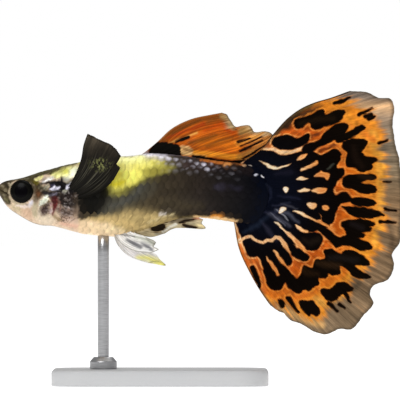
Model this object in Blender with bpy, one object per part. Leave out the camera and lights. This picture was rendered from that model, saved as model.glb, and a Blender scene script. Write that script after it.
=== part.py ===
"""A life-size fancy guppy, a male with a fan tail, held level on a plain display stand.

The fish faces -X. Its shape is given in millimetres behind the snout tip, to the fish's right, and above its
body axis, and the stand's in millimetres above the floor. Everything is then placed in metres, +Z up.
"""
import bmesh
import bpy
import numpy as np

MM = 0.001

# Driving dimensions
TOTAL_LENGTH = 50.75
FLESH_LENGTH = 32.25
BODY_AXIS_HEIGHT = 24.25
FIN_THICKNESS = 0.5
CUT = 0.2
CREASE_DEG = 40.0

# Body sections: distance behind the snout tip, back, widest level, belly, half width
BODY_SECTIONS = (
    (0.0, 0.48, 0.20, -0.12, 0.55),
    (0.4, 0.88, 0.18, -0.64, 1.00),
    (1.0, 1.20, 0.10, -1.58, 1.40),
    (1.6, 1.36, 0.00, -2.24, 1.64),
    (2.4, 1.49, -0.05, -2.80, 1.84),
    (3.25, 1.68, -0.10, -3.33, 2.02),
    (4.4, 2.05, -0.15, -3.95, 2.20),
    (5.6, 2.43, -0.25, -4.30, 2.35),
    (6.9, 2.77, -0.30, -4.40, 2.48),
    (8.1, 3.12, -0.35, -4.70, 2.62),
    (10.0, 3.53, -0.50, -5.22, 2.80),
    (12.0, 3.94, -0.60, -5.51, 2.88),
    (14.0, 4.20, -0.70, -5.68, 2.90),
    (15.25, 4.30, -0.70, -5.66, 2.85),
    (17.0, 4.42, -0.60, -5.25, 2.70),
    (19.0, 4.70, -0.50, -4.65, 2.45),
    (21.0, 4.62, -0.35, -3.95, 2.15),
    (23.0, 4.42, -0.15, -3.42, 1.86),
    (25.0, 4.15, 0.00, -3.32, 1.58),
    (27.0, 3.85, 0.05, -3.50, 1.33),
    (29.0, 3.62, 0.00, -3.80, 1.10),
    (31.0, 3.42, -0.15, -4.08, 0.85),
    (FLESH_LENGTH, 3.32, -0.30, -4.20, 0.62),
)
BACK_ROUNDNESS = 2.25
BELLY_ROUNDNESS = 2.1
BODY_SIDES = 24

# The head meets the trunk, and the trunk the tail stem, at thin cuts; the stem's end bows back into the fin
HEAD_END = 9.3
TRUNK_END = 25.6
HEAD_RINGS = np.linspace(0.0, HEAD_END - CUT / 2, 18)
TRUNK_RINGS = np.linspace(HEAD_END + CUT / 2, TRUNK_END - CUT / 2, 21)
STEM_RINGS = np.linspace(TRUNK_END + CUT / 2, FLESH_LENGTH, 9)
STEM_BOW = 1.75
STEM_BOW_START = 26.5

# Head: the eyes look a little forward and up, and the jaw lies under a line from mouth tip to mouth corner
EYE_CENTRE = (3.13, -0.06)
EYE_RIM_OFFSET = 1.74
EYE_RADIUS = 1.40
EYE_BULGE = 0.50
EYE_DEPTH = 0.75
EYE_YAW_DEG = 10.0
EYE_TILT_DEG = 8.0
EYE_GAP = 0.12
EYE_SIDES = 20
EYE_STEPS = 4
GILL_CENTRE = (6.9, -1.45)
GILL_RADII = (1.75, 2.55)
GILL_THICKNESS = 0.6
GILL_SIDES = 22
MOUTH_TIP = (-0.6, 0.36)
MOUTH_CORNER = (1.35, -0.50)
CHIN = (2.1, -3.6)

# Fin plans: four edges of (behind the snout, above the axis) points, and the rays and steps of the grid
CAUDAL = {
    "root": ((30.4, 3.5), (31.9, 2.2), (32.5, 0.0), (31.6, -2.5), (29.6, -3.9)),
    "front": (
        (30.4, 3.5), (32.9, 5.1), (34.6, 7.2), (36.4, 9.15), (38.0, 10.3), (39.7, 11.05), (41.6, 11.6),
        (44.1, 12.5),
    ),
    "rim": (
        (44.1, 12.5), (46.7, 12.3), (47.8, 11.7), (49.3, 11.5), (49.7, 10.2), (49.5, 9.0), (49.8, 6.3),
        (50.3, 4.2), (50.6, 1.5), (50.6, -4.2), (50.3, -6.5), (49.4, -7.9), (49.7, -9.2), (49.0, -11.0),
        (46.9, -12.1), (46.7, -13.0), (47.1, -14.0), (45.8, -15.6), (44.3, -17.4), (42.9, -17.3),
        (41.0, -18.05), (40.2, -17.9), (38.2, -16.8), (36.6, -16.1), (36.1, -15.4), (35.3, -15.1),
        (34.2, -14.3),
    ),
    "back": ((29.6, -3.9), (30.3, -7.4), (31.6, -10.2), (33.0, -12.6), (34.2, -14.3)),
    "rays": 52,
    "steps": 10,
}
DORSAL = {
    "root": ((17.1, 3.9), (21.5, 4.1), (24.0, 3.8), (26.2, 3.4)),
    "front": ((17.1, 3.9), (18.6, 4.95), (20.1, 6.25), (21.7, 7.8), (24.3, 9.1), (26.6, 9.65), (28.1, 9.9)),
    "rim": (
        (28.1, 9.9), (28.9, 9.6), (29.25, 8.9), (29.9, 8.05), (30.7, 8.2), (31.7, 8.2), (32.2, 7.45),
        (33.4, 7.5), (34.6, 7.1), (35.0, 6.3), (34.4, 5.2),
    ),
    "back": ((26.2, 3.4), (29.0, 3.9), (32.0, 4.0), (34.4, 5.2)),
    "rays": 20,
    "steps": 8,
}
ANAL = {
    "root": ((16.5, -4.9), (18.2, -4.5), (20.0, -3.9), (22.0, -3.2)),
    "front": ((16.5, -4.9), (17.9, -5.5), (19.2, -5.75), (21.0, -5.3)),
    "rim": (
        (21.0, -5.3), (22.0, -4.75), (23.6, -4.45), (24.6, -4.7), (26.2, -4.6), (25.6, -4.0), (25.9, -3.6),
    ),
    "back": ((22.0, -3.2), (23.6, -3.4), (25.0, -3.5), (25.9, -3.6)),
    "rays": 10,
    "steps": 6,
}
PECTORAL = {
    "root": ((8.9, 0.35), (9.3, -0.4), (9.7, -1.15)),
    "front": ((8.9, 0.35), (9.6, 1.8), (10.5, 4.0), (10.9, 5.9), (11.35, 7.0)),
    "rim": (
        (11.35, 7.0), (11.9, 6.8), (13.1, 6.2), (14.3, 5.7), (15.1, 5.0), (15.5, 4.3), (15.0, 3.7),
        (15.5, 2.9),
    ),
    "back": ((9.7, -1.15), (12.0, -0.6), (14.2, 0.9), (15.5, 2.9)),
    "rays": 12,
    "steps": 8,
}
PELVIC_LEFT = {
    "root": ((14.5, -5.2), (15.4, -5.15), (16.4, -4.95)),
    "front": ((14.5, -5.2), (15.5, -6.5), (17.0, -7.4), (19.2, -7.75)),
    "rim": ((19.2, -7.75), (20.3, -7.3), (19.6, -6.9), (19.9, -6.5), (18.7, -5.9)),
    "back": ((16.4, -4.95), (17.3, -5.3), (18.0, -5.5), (18.7, -5.9)),
    "rays": 8,
    "steps": 6,
}
PELVIC_RIGHT = {
    "root": PELVIC_LEFT["root"],
    "front": ((14.5, -5.2), (15.0, -6.6), (16.3, -8.0), (18.0, -8.7), (19.4, -9.0)),
    "rim": ((19.4, -9.0), (21.1, -9.3), (20.4, -8.6), (20.0, -8.1)),
    "back": ((16.4, -4.95), (17.8, -6.2), (19.0, -7.3), (20.0, -8.1)),
    "rays": 8,
    "steps": 6,
}

# How far the fins stand, sway and ripple sideways; a fin's reach runs from 0 at its root to 1 at its rim
CAUDAL_SWAY = 0.75
CAUDAL_SWAY_WAVES = 1.1
CAUDAL_SWAY_PHASE = 0.6
CAUDAL_RIPPLE = 0.3
CAUDAL_RIPPLE_WAVES = 5
DORSAL_SWAY = 1.25
DORSAL_SWAY_SPAN = (24.5, 30.8)
PECTORAL_ROOT_OFFSET = 2.45
PECTORAL_FLARE = 2.4
PECTORAL_RIPPLE = 0.25
PELVIC_ROOT_OFFSET = 0.75
PELVIC_SPREAD = 1.3

# Stand
BASE_LENGTH = 27.0
BASE_WIDTH = 18.0
BASE_THICKNESS = 2.0
BASE_CORNER = 4.0
BASE_BEVEL = 0.4
BASE_BEHIND_SNOUT = 20.4
CORNER_STEPS = 8
ROD_RADIUS = 0.7
ROD_TOP = 21.2
ROD_BEHIND_SNOUT = 13.3
ROD_SOCKET_DEPTH = 1.2
COLLAR_RADIUS = 1.7
COLLAR_TOP_RADIUS = 1.25
COLLAR_SHOULDER = 0.8
COLLAR_HEIGHT = 1.3
TURNED_SIDES = 28


def clear_scene():
    for thing in list(bpy.data.objects):
        bpy.data.objects.remove(thing, do_unlink=True)


def material(name, colour, roughness, metallic=0.0):
    finish = bpy.data.materials.new(name)
    finish.use_nodes = True
    shader = finish.node_tree.nodes["Principled BSDF"]
    shader.inputs["Base Color"].default_value = (*colour, 1.0)
    shader.inputs["Roughness"].default_value = roughness
    shader.inputs["Metallic"].default_value = metallic
    return finish


def group(name):
    """An empty that holds the pieces of one group together."""
    empty = bpy.data.objects.new(name, None)
    bpy.context.scene.collection.objects.link(empty)
    return empty


def in_row_frame(points, above_floor=False):
    """Millimetres behind the snout, to the right and above the axis, or the floor, as metres in the frame."""
    moved = np.array(points, float).reshape(-1, 3)
    moved[:, 0] -= TOTAL_LENGTH / 2
    moved[:, 2] += 0 if above_floor else BODY_AXIS_HEIGHT
    return moved * MM


def add_object(name, spots, faces, finish, parent=None):
    """A closed mesh whose origin is at its own centre. Without a parent it is a cutter or a guide."""
    centre = (spots.min(axis=0) + spots.max(axis=0)) / 2
    mesh = bpy.data.meshes.new(name)
    mesh.from_pydata((spots - centre).tolist(), [], faces)
    mesh.materials.append(finish)
    point_faces_outward(mesh)
    thing = bpy.data.objects.new(name, mesh)
    thing.location = centre
    thing.parent = parent
    if parent is None:
        thing.hide_render = True
        thing.display_type = "WIRE"
    bpy.context.scene.collection.objects.link(thing)
    return thing


def point_faces_outward(mesh):
    work = bmesh.new()
    work.from_mesh(mesh)
    bmesh.ops.recalc_face_normals(work, faces=work.faces)
    work.to_mesh(mesh)
    work.free()
    mesh.shade_smooth()
    mesh.set_sharp_from_angle(angle=np.radians(CREASE_DEG))


def boolean(thing, other, operation):
    step = thing.modifiers.new(f"{operation.lower()} {other.name}", "BOOLEAN")
    step.operation = operation
    step.object = other
    step.solver = "EXACT"


def smooth_step(low, high, value):
    t = np.clip((value - low) / (high - low), 0, 1)
    return t * t * (3 - 2 * t)


def through(stations, at):
    """A smooth curve through rows of (position, values...), read at the positions asked for."""
    rows = np.array(stations, float)
    where, values = rows[:, 0], rows[:, 1:]
    slopes = np.gradient(values, where, axis=0)
    at = np.clip(np.asarray(at, float), where[0], where[-1])
    piece = np.clip(np.searchsorted(where, at, side="right") - 1, 0, len(where) - 2)
    span = (where[piece + 1] - where[piece])[:, None]
    t = (at - where[piece])[:, None] / span
    return (
        values[piece] * (1 + 2 * t) * (1 - t) ** 2
        + slopes[piece] * span * t * (1 - t) ** 2
        + values[piece + 1] * t**2 * (3 - 2 * t)
        + slopes[piece + 1] * span * t**2 * (t - 1)
    )


def curve_through(points, count):
    """A smooth open curve through a few points, read at places evenly spaced along it."""
    points = np.array(points, float)
    steps = np.linalg.norm(np.diff(points, axis=0), axis=1)
    along = np.concatenate([[0], np.cumsum(steps)]) / steps.sum()
    return through(np.column_stack([along, points]), np.linspace(0, 1, count))


def body_rings(behind, grow=0.0):
    """Rings of the body, each a half superellipse over another, and bowed backward at the tail's root."""
    back, level, belly, half = through(BODY_SECTIONS, behind).T[..., None]
    angle = np.linspace(0, 2 * np.pi, BODY_SIDES, endpoint=False)
    cos, sin = np.cos(angle), np.sin(angle)
    power = 2 / np.where(sin >= 0, BACK_ROUNDNESS, BELLY_ROUNDNESS)
    across = (half + grow) * np.sign(cos) * np.abs(cos) ** power
    height = np.where(sin >= 0, back - level, level - belly) + grow
    above = level + height * np.sign(sin) * np.abs(sin) ** power
    middle, reach = (back + belly) / 2, (back - belly) / 2 + grow
    bow = STEM_BOW * smooth_step(STEM_BOW_START, FLESH_LENGTH, behind)[:, None]
    along = behind[:, None] + bow * (1 - ((above - middle) / reach) ** 2)
    return np.stack([along, across, above], axis=-1)


def ring_faces(rings, sides):
    """Quads between one ring and the next."""
    return [
        (ring * sides + side, ring * sides + after, (ring + 1) * sides + after, (ring + 1) * sides + side)
        for ring in range(rings - 1)
        for side, after in zip(range(sides), list(range(1, sides)) + [0])
    ]


def loft(name, rings, finish, parent=None):
    """A closed solid through rings of points, with each end fanned from its middle."""
    count, sides, _ = rings.shape
    ends = np.array([rings[0].mean(axis=0), rings[-1].mean(axis=0)])
    first, last = count * sides, (count - 1) * sides
    faces = ring_faces(count, sides)
    for side in range(sides):
        after = (side + 1) % sides
        faces.append((first, after, side))
        faces.append((first + 1, last + side, last + after))
    spots = in_row_frame(np.vstack([rings.reshape(-1, 3), ends]))
    return add_object(name, spots, faces, finish, parent)


def prism(name, outline, near, far, finish):
    """A cutter: an outline of (behind, above) points carried from one distance sideways to another."""
    rings = [[(behind, across, above) for behind, above in outline] for across in (near, far)]
    return loft(name, np.array(rings), finish)


def ellipse(centre, radii, grow):
    """An ellipse of (behind, above) points, wider all round by grow."""
    angle = np.linspace(0, 2 * np.pi, GILL_SIDES, endpoint=False)
    unit = np.column_stack([np.cos(angle), np.sin(angle)])
    return np.array(centre) + unit * (np.array(radii) + grow)


def jaw_outline(grow):
    """The block under the mouth's line and in front of the chin's, with those two sides moved out by grow."""
    tip, corner, chin = np.array(MOUTH_TIP), np.array(MOUTH_CORNER), np.array(CHIN)
    up, back = np.array((0, grow)), np.array((grow, 0))
    return [tip + up, corner + up + back, chin + back, (MOUTH_TIP[0], CHIN[1])]


def turned_on_eye_axis(name, side, profile, finish, parent=None):
    """A profile of (radius, outward) points turned about the eye's own axis, on one side of the head."""
    angle = np.linspace(0, 2 * np.pi, EYE_SIDES, endpoint=False)
    ring, out = (np.array(column)[:, None] for column in zip(*profile))
    along, up = ring * np.cos(angle), ring * np.sin(angle)
    tilt, yaw = np.radians(EYE_TILT_DEG), np.radians(EYE_YAW_DEG)
    out, up = out * np.cos(tilt) - up * np.sin(tilt), out * np.sin(tilt) + up * np.cos(tilt)
    along, out = along * np.cos(yaw) - out * np.sin(yaw), along * np.sin(yaw) + out * np.cos(yaw)
    rings = (along + EYE_CENTRE[0], side * (out + EYE_RIM_OFFSET), up + EYE_CENTRE[1])
    return loft(name, np.stack(rings, axis=-1), finish, parent)


def eyeball_profile():
    """A lens from inner to outer pole: an ellipse inward by the depth, and another outward by the bulge."""
    turn = np.linspace(-np.pi / 2, np.pi / 2, 2 * EYE_STEPS + 1)[1:-1]
    out = np.where(turn > 0, EYE_BULGE, EYE_DEPTH) * np.sin(turn)
    return list(zip(EYE_RADIUS * np.cos(turn), out))


def socket_profile():
    """The eyeball's room: its inner ellipse with a gap round it, then straight out past the cheek."""
    turn = np.linspace(-np.pi / 2, 0, EYE_STEPS + 1)[1:]
    radius, depth = EYE_RADIUS + EYE_GAP, EYE_DEPTH + EYE_GAP
    return list(zip(radius * np.cos(turn), depth * np.sin(turn))) + [(radius, 3 * EYE_BULGE)]


def head_parts(skin, eye_finish, parent):
    """The head, with its lower jaw and gill covers parted off by thin cuts, and an eye in each socket."""
    rings = body_rings(HEAD_RINGS)
    head = loft("head", rings, skin, parent)
    jaw = loft("jaw_lower", rings, skin, parent)
    boolean(jaw, prism("jaw block", jaw_outline(-CUT / 2), -4, 4, skin), "INTERSECT")
    boolean(head, prism("jaw room", jaw_outline(CUT / 2), -5, 5, skin), "DIFFERENCE")
    cover_core = loft("cover core", body_rings(HEAD_RINGS, grow=-GILL_THICKNESS), skin)
    room_core = loft("room core", body_rings(HEAD_RINGS, grow=-GILL_THICKNESS - CUT), skin)
    for name, side in (("left", -1), ("right", 1)):
        turned_on_eye_axis(f"eye_{name}", side, eyeball_profile(), eye_finish, parent)
        socket = turned_on_eye_axis(f"socket {name}", side, socket_profile(), skin)
        boolean(head, socket, "DIFFERENCE")
        cover = loft(f"gill_cover_{name}", rings, skin, parent)
        plate = prism(f"plate {name}", ellipse(GILL_CENTRE, GILL_RADII, -CUT / 2), side, 4 * side, skin)
        boolean(cover, plate, "INTERSECT")
        boolean(cover, cover_core, "DIFFERENCE")
        room = prism(f"room {name}", ellipse(GILL_CENTRE, GILL_RADII, CUT / 2), 0.8 * side, 5 * side, skin)
        boolean(room, room_core, "DIFFERENCE")
        boolean(head, room, "DIFFERENCE")


def fin_plan(plan):
    """A patch between four edges, each met exactly, and each grid point's place across and reach out."""
    rays, steps = plan["rays"], plan["steps"]
    root, rim = (curve_through(plan[edge], rays)[:, None] for edge in ("root", "rim"))
    front, back = (curve_through(plan[edge], steps)[None] for edge in ("front", "back"))
    across, reach = np.meshgrid(np.linspace(0, 1, rays), np.linspace(0, 1, steps), indexing="ij")
    v, t = across[..., None], reach[..., None]
    corners = (1 - v) * ((1 - t) * root[0] + t * rim[0]) + v * ((1 - t) * root[-1] + t * rim[-1])
    return (1 - t) * root + t * rim + (1 - v) * front + v * back - corners, across, reach


def fin(name, plan, sideways, trim, finish, parent):
    """A fin as one sheet moved sideways by a function of (plan, across, reach), thickened and trimmed."""
    flat, across, reach = fin_plan(plan)
    rays, steps = across.shape
    sheet = np.stack([flat[..., 0], sideways(flat, across, reach), flat[..., 1]], axis=-1)
    corner = np.arange(rays * steps).reshape(rays, steps)
    quads = np.stack([corner[:-1, :-1], corner[1:, :-1], corner[1:, 1:], corner[:-1, 1:]], axis=-1)
    thing = add_object(name, in_row_frame(sheet), quads.reshape(-1, 4).tolist(), finish, parent)
    wall = thing.modifiers.new("fin thickness", "SOLIDIFY")
    wall.thickness = FIN_THICKNESS * MM
    wall.offset = 0.0
    wall.use_even_offset = True
    boolean(thing, trim, "DIFFERENCE")


def caudal_sideways(flat, across, reach):
    """One slow bend and five folds across the fan, both growing towards the rim."""
    bend = np.sin(2 * np.pi * CAUDAL_SWAY_WAVES * across + CAUDAL_SWAY_PHASE)
    folds = np.sin(2 * np.pi * CAUDAL_RIPPLE_WAVES * across)
    return CAUDAL_SWAY * reach**2 * bend + CAUDAL_RIPPLE * reach**3 * folds


def dorsal_sideways(flat, across, reach):
    """The trailing end swings to the right, past the upper edge of the tail fan."""
    return DORSAL_SWAY * smooth_step(*DORSAL_SWAY_SPAN, flat[..., 0])


def pectoral_sideways(side):
    def away(flat, across, reach):
        wave = PECTORAL_RIPPLE * reach * np.sin(2 * np.pi * across)
        return side * (PECTORAL_ROOT_OFFSET + PECTORAL_FLARE * reach**0.9 + wave)

    return away


def pelvic_sideways(side):
    return lambda flat, across, reach: side * (PELVIC_ROOT_OFFSET + PELVIC_SPREAD * reach)


def fins(trim, parent):
    orange = material("Orange fin membrane", (0.85, 0.35, 0.05), 0.45)
    dark = material("Dark fin membrane", (0.05, 0.05, 0.04), 0.5)
    pale = material("Pale fin membrane", (0.75, 0.73, 0.65), 0.5)
    fin("fin_caudal", CAUDAL, caudal_sideways, trim, orange, parent)
    fin("fin_dorsal", DORSAL, dorsal_sideways, trim, orange, parent)
    fin("fin_anal", ANAL, lambda flat, across, reach: np.zeros_like(reach), trim, pale, parent)
    fin("fin_pectoral_left", PECTORAL, pectoral_sideways(-1), trim, dark, parent)
    fin("fin_pectoral_right", PECTORAL, pectoral_sideways(1), trim, dark, parent)
    fin("fin_pelvic_left", PELVIC_LEFT, pelvic_sideways(-1), trim, pale, parent)
    fin("fin_pelvic_right", PELVIC_RIGHT, pelvic_sideways(1), trim, pale, parent)


def turned_on_rod(name, profile, finish, parent=None, ring=False):
    """A profile of (radius, height) points turned about the rod's axis, capped, or joined up into a ring."""
    angle = np.linspace(0, 2 * np.pi, TURNED_SIDES, endpoint=False)
    radius, height = (np.array(column)[:, None] for column in zip(*profile))
    along, across = ROD_BEHIND_SNOUT + radius * np.cos(angle), radius * np.sin(angle)
    rings = np.stack([along, across, height + 0 * along], axis=-1)
    rows, first = len(profile), list(range(TURNED_SIDES))
    last = [corner + (rows - 1) * TURNED_SIDES for corner in first]
    faces = ring_faces(rows, TURNED_SIDES)
    if ring:
        after = first[1:] + first[:1]
        faces += [(last[i], last[after[i]], after[i], i) for i in first]
    else:
        faces += [first, last[::-1]]
    return add_object(name, in_row_frame(rings, above_floor=True), faces, finish, parent)


def base_slab(finish, parent):
    """A slab with round corners, bevelled round its top edge."""
    turn = np.linspace(0, np.pi / 2, CORNER_STEPS)
    angle = np.concatenate([turn + quarter * np.pi / 2 for quarter in range(4)])
    reach_x = np.repeat([1, -1, -1, 1], CORNER_STEPS) * (BASE_LENGTH / 2 - BASE_CORNER)
    reach_y = np.repeat([1, 1, -1, -1], CORNER_STEPS) * (BASE_WIDTH / 2 - BASE_CORNER)
    rings = []
    for inset, height in ((0, 0), (0, BASE_THICKNESS - BASE_BEVEL), (BASE_BEVEL, BASE_THICKNESS)):
        radius = BASE_CORNER - inset
        along = BASE_BEHIND_SNOUT + reach_x + radius * np.cos(angle)
        rings.append(np.column_stack([along, reach_y + radius * np.sin(angle), 0 * angle + height]))
    sides = len(angle)
    faces = ring_faces(len(rings), sides) + [list(range(sides)), list(range(2 * sides, 3 * sides))[::-1]]
    return add_object("stand_base", in_row_frame(rings, above_floor=True), faces, finish, parent)


def stand(trim, parent):
    """A slab with a blind hole, a rod from the hole up to the belly, and a collar round the rod's foot."""
    lacquer = material("Lacquer", (0.75, 0.75, 0.73), 0.4)
    steel = material("Steel", (0.6, 0.6, 0.6), 0.25, 1.0)
    seat = BASE_THICKNESS - ROD_SOCKET_DEPTH
    bore = ROD_RADIUS + CUT
    base = base_slab(lacquer, parent)
    hole = turned_on_rod("rod hole", [(bore, seat - CUT), (bore, 2 * BASE_THICKNESS)], steel)
    boolean(base, hole, "DIFFERENCE")
    rod = turned_on_rod("stand_rod", [(ROD_RADIUS, seat), (ROD_RADIUS, ROD_TOP)], steel, parent)
    boolean(rod, trim, "DIFFERENCE")
    foot = BASE_THICKNESS + CUT
    profile = [
        (bore, foot),
        (COLLAR_RADIUS, foot),
        (COLLAR_RADIUS, foot + COLLAR_SHOULDER),
        (COLLAR_TOP_RADIUS, foot + COLLAR_HEIGHT),
        (bore, foot + COLLAR_HEIGHT),
    ]
    turned_on_rod("stand_collar", profile, steel, parent, ring=True)


def main():
    clear_scene()
    fish = group("fish")
    skin = material("Flank skin", (0.16, 0.13, 0.10), 0.35)
    ends = ([-CUT], HEAD_RINGS, TRUNK_RINGS, STEM_RINGS, [FLESH_LENGTH + CUT])
    trim = loft("body clearance", body_rings(np.concatenate(ends), grow=CUT), skin)
    head_parts(skin, material("Eye", (0.01, 0.01, 0.01), 0.1), fish)
    loft("trunk", body_rings(TRUNK_RINGS), skin, fish)
    loft("tail_stem", body_rings(STEM_RINGS), skin, fish)
    fins(trim, fish)
    stand(trim, group("stand"))


main()
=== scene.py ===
"""The looks of a life-size fancy guppy with a fan tail, on a plain display stand.

The skin, scales, eyes and fins are surfaces worked out from the same sections and plans as the solids.
Their shape is in millimetres behind the snout, to the fish's right and above its body axis. Their markings
are drawn in columns and rows of the photograph, and look the same from both sides.
"""

import bpy
import numpy as np
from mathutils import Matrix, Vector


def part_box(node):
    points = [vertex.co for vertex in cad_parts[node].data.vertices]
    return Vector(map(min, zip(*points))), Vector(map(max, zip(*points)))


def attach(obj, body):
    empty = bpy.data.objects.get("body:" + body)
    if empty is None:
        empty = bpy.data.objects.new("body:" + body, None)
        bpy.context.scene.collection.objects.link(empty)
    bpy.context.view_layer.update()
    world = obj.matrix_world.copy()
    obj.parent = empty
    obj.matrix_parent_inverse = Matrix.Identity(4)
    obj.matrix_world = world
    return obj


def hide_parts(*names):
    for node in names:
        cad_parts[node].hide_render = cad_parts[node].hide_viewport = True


bl_info = {
    "name": "Fancy guppy looks",
    "version": (1, 0, 0),
    "blender": (4, 5, 0),
    "location": "3D View > Sidebar > Guppy",
    "description": "Skin, scales, eyes, fins and stand of a life-size fancy guppy",
    "category": "Object",
}

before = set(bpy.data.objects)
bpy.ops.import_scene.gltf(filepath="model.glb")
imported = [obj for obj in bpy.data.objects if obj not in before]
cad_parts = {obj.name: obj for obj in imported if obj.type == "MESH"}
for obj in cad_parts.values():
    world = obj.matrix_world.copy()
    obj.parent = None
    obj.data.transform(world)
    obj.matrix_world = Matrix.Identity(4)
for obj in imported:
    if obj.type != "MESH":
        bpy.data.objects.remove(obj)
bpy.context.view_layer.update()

MM = 0.001

# Where the snout tip and the body axis lie in the frame; the back rises this far over the axis at its highest
BACK_OVER_AXIS = 4.7
SNOUT_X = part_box("head")[0][0]
AXIS_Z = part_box("trunk")[1][2] - BACK_OVER_AXIS * MM

# The photograph's scale, and its column and row of the snout tip and of the body axis
PHOTO_PER_MM = 8.0
PHOTO_SNOUT_COLUMN = -3.0
PHOTO_AXIS_ROW = 191.0
PHOTO_MIDDLE = 200.0

# Body sections: distance behind the snout tip, back, widest level, belly, half width
FLESH_LENGTH = 32.25
BODY_SECTIONS = (
    (0, 0.48, 0.2, -0.12, 0.55),
    (0.4, 0.88, 0.18, -0.64, 1.00),
    (1, 1.2, 0.1, -1.58, 1.4),
    (1.6, 1.36, 0.00, -2.24, 1.64),
    (2.4, 1.49, -0.05, -2.8, 1.84),
    (3.25, 1.68, -0.1, -3.33, 2.02),
    (4.4, 2.05, -0.15, -3.95, 2.2),
    (5.6, 2.43, -0.25, -4.3, 2.35),
    (6.9, 2.77, -0.3, -4.4, 2.48),
    (8.1, 3.12, -0.35, -4.7, 2.62),
    (10, 3.53, -0.5, -5.22, 2.8),
    (12, 3.94, -0.6, -5.51, 2.88),
    (14, 4.2, -0.7, -5.68, 2.9),
    (15.25, 4.3, -0.7, -5.66, 2.85),
    (17, 4.42, -0.6, -5.25, 2.7),
    (19, BACK_OVER_AXIS, -0.5, -4.65, 2.45),
    (21, 4.62, -0.35, -3.95, 2.15),
    (23, 4.42, -0.15, -3.42, 1.86),
    (25, 4.15, 0.00, -3.32, 1.58),
    (27, 3.85, 0.05, -3.5, 1.33),
    (29, 3.62, 0.00, -3.8, 1.1),
    (31, 3.42, -0.15, -4.08, 0.85),
    (FLESH_LENGTH, 3.32, -0.3, -4.2, 0.62),
)
BACK_ROUNDNESS = 2.25
BELLY_ROUNDNESS = 2.1
STEM_BOW = 1.75
STEM_BOW_START = 26.5
SNOUT_ROUND = 0.45
STEM_THIN_START = 29.6
STEM_EDGE = 0.07

# The skin's rings and their corners, and where the crowded rings of the head end
SNOUT_RINGS = 14
HEAD_RINGS = 176
TRUNK_RINGS = 214
SKIN_SIDES = 224
HEAD_END = 10.2

# Scales: where they begin and end, how far down the sides they begin on the head, and their shares of a row
SCALES_SPAN = (5, 31)
CROWN_SCALES = ((5, 7, 9, HEAD_END), (0.1, 0.22, 0.34, 1))
SCALE_LENGTH = 0.68
SCALE_WIDTH = 0.72
SCALE_BOW = 0.012
SCALE_WALL = 0.016
SCALE_OWN_COLOUR = 0.2
SCALE_SEED = 7
SCALE_MAP_RADIUS = 0.0015

# Eyes
EYE_CENTRE = (3.13, -0.06)
EYE_RIM_OFFSET = 1.74
EYE_RADIUS = 1.4
EYE_BULGE = 0.5
EYE_DEPTH = 0.75
EYE_YAW_DEG = 10.0
EYE_TILT_DEG = 8.0
EYE_LIP = 0.08
EYE_SOCKET = 0.45

# Head details, behind the snout and above the axis: mouth line, nostril, gill cover with its slit, crease of
# the cheek, fleshy root of the chest fin and folds of the throat
MOUTH = ((-0.1, 0.22), (0.55, 0.05), (1.35, -0.4))
NOSTRIL = (1.72, 0.8)
GILL_CENTRE = (6.9, -1.45)
GILL_RADII = (1.75, 2.55)
CHEEK_CREASE = ((4.75, 0.9), (5.35, -0.4), (5.3, -1.9), (4.6, -3.3))
FIN_BOSS = ((8.85, 0.4), (9.2, -0.4), (9.6, -1.2))
THROAT_FOLDS = (
    ((4.2, -2.7), (5.6, -3.2), (7.4, -3.4)), ((4.2, -3.05), (5.6, -3.55), (7.4, -3.75)),
    ((4.2, -3.4), (5.6, -3.9), (7.4, -4.1)),
)
GILL_RISE = 0.11
GILL_SLIT = 0.12

# Swells and grooves of the head: a line, its half width and its height, and the nostril's radii and heights
HEAD_RIDGES = (
    (MOUTH, 0.07, -0.2), (MOUTH, 0.26, 0.12), (CHEEK_CREASE, 0.1, -0.06), (FIN_BOSS, 0.42, 0.14),
    *((fold, 0.09, -0.035) for fold in THROAT_FOLDS),
)
NOSTRIL_RINGS = ((0.11, -0.16), (0.24, 0.05))

# Fin plans: four edges of (behind the snout, above the axis) points
CAUDAL = {
    "root": ((30.4, 3.5), (31.9, 2.2), (32.5, 0), (31.6, -2.5), (29.6, -3.9)),
    "front": (
        (30.4, 3.5), (32.9, 5.1), (34.6, 7.2), (36.4, 9.15), (38, 10.3), (39.7, 11.05), (41.6, 11.6),
        (44.1, 12.5),
    ),
    "rim": (
        (44.1, 12.5), (46.7, 12.3), (47.8, 11.7), (49.3, 11.5), (49.7, 10.2), (49.5, 9), (49.8, 6.3),
        (50.3, 4.2), (50.6, 1.5), (50.6, -4.2), (50.3, -6.5), (49.4, -7.9), (49.7, -9.2), (49, -11),
        (46.9, -12.1), (46.7, -13), (47.1, -14), (45.8, -15.6), (44.3, -17.4), (42.9, -17.3),
        (41, -18.05), (40.2, -17.9), (38.2, -16.8), (36.6, -16.1), (36.1, -15.4), (35.3, -15.1),
        (34.2, -14.3),
    ),
    "back": ((29.6, -3.9), (30.3, -7.4), (31.6, -10.2), (33, -12.6), (34.2, -14.3)),
}
DORSAL = {
    "root": ((17.1, 3.9), (21.5, 4.1), (24, 3.8), (26.2, 3.4)),
    "front": ((17.1, 3.9), (18.6, 4.95), (20.1, 6.2), (21.7, 7.7), (24.3, 9), (26.6, 9.52), (28.1, 9.8)),
    "rim": (
        (28.1, 9.8), (28.9, 9.55), (29.25, 8.9), (29.9, 8.05), (30.7, 8.2), (31.7, 8.2), (32.2, 7.45),
        (33.4, 7.5), (34.6, 7.1), (35, 6.3), (34.4, 5.2),
    ),
    "back": ((26.2, 3.4), (28.8, 3.4), (31.4, 3.5), (33.2, 4.2), (34.4, 5.2)),
}
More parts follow.
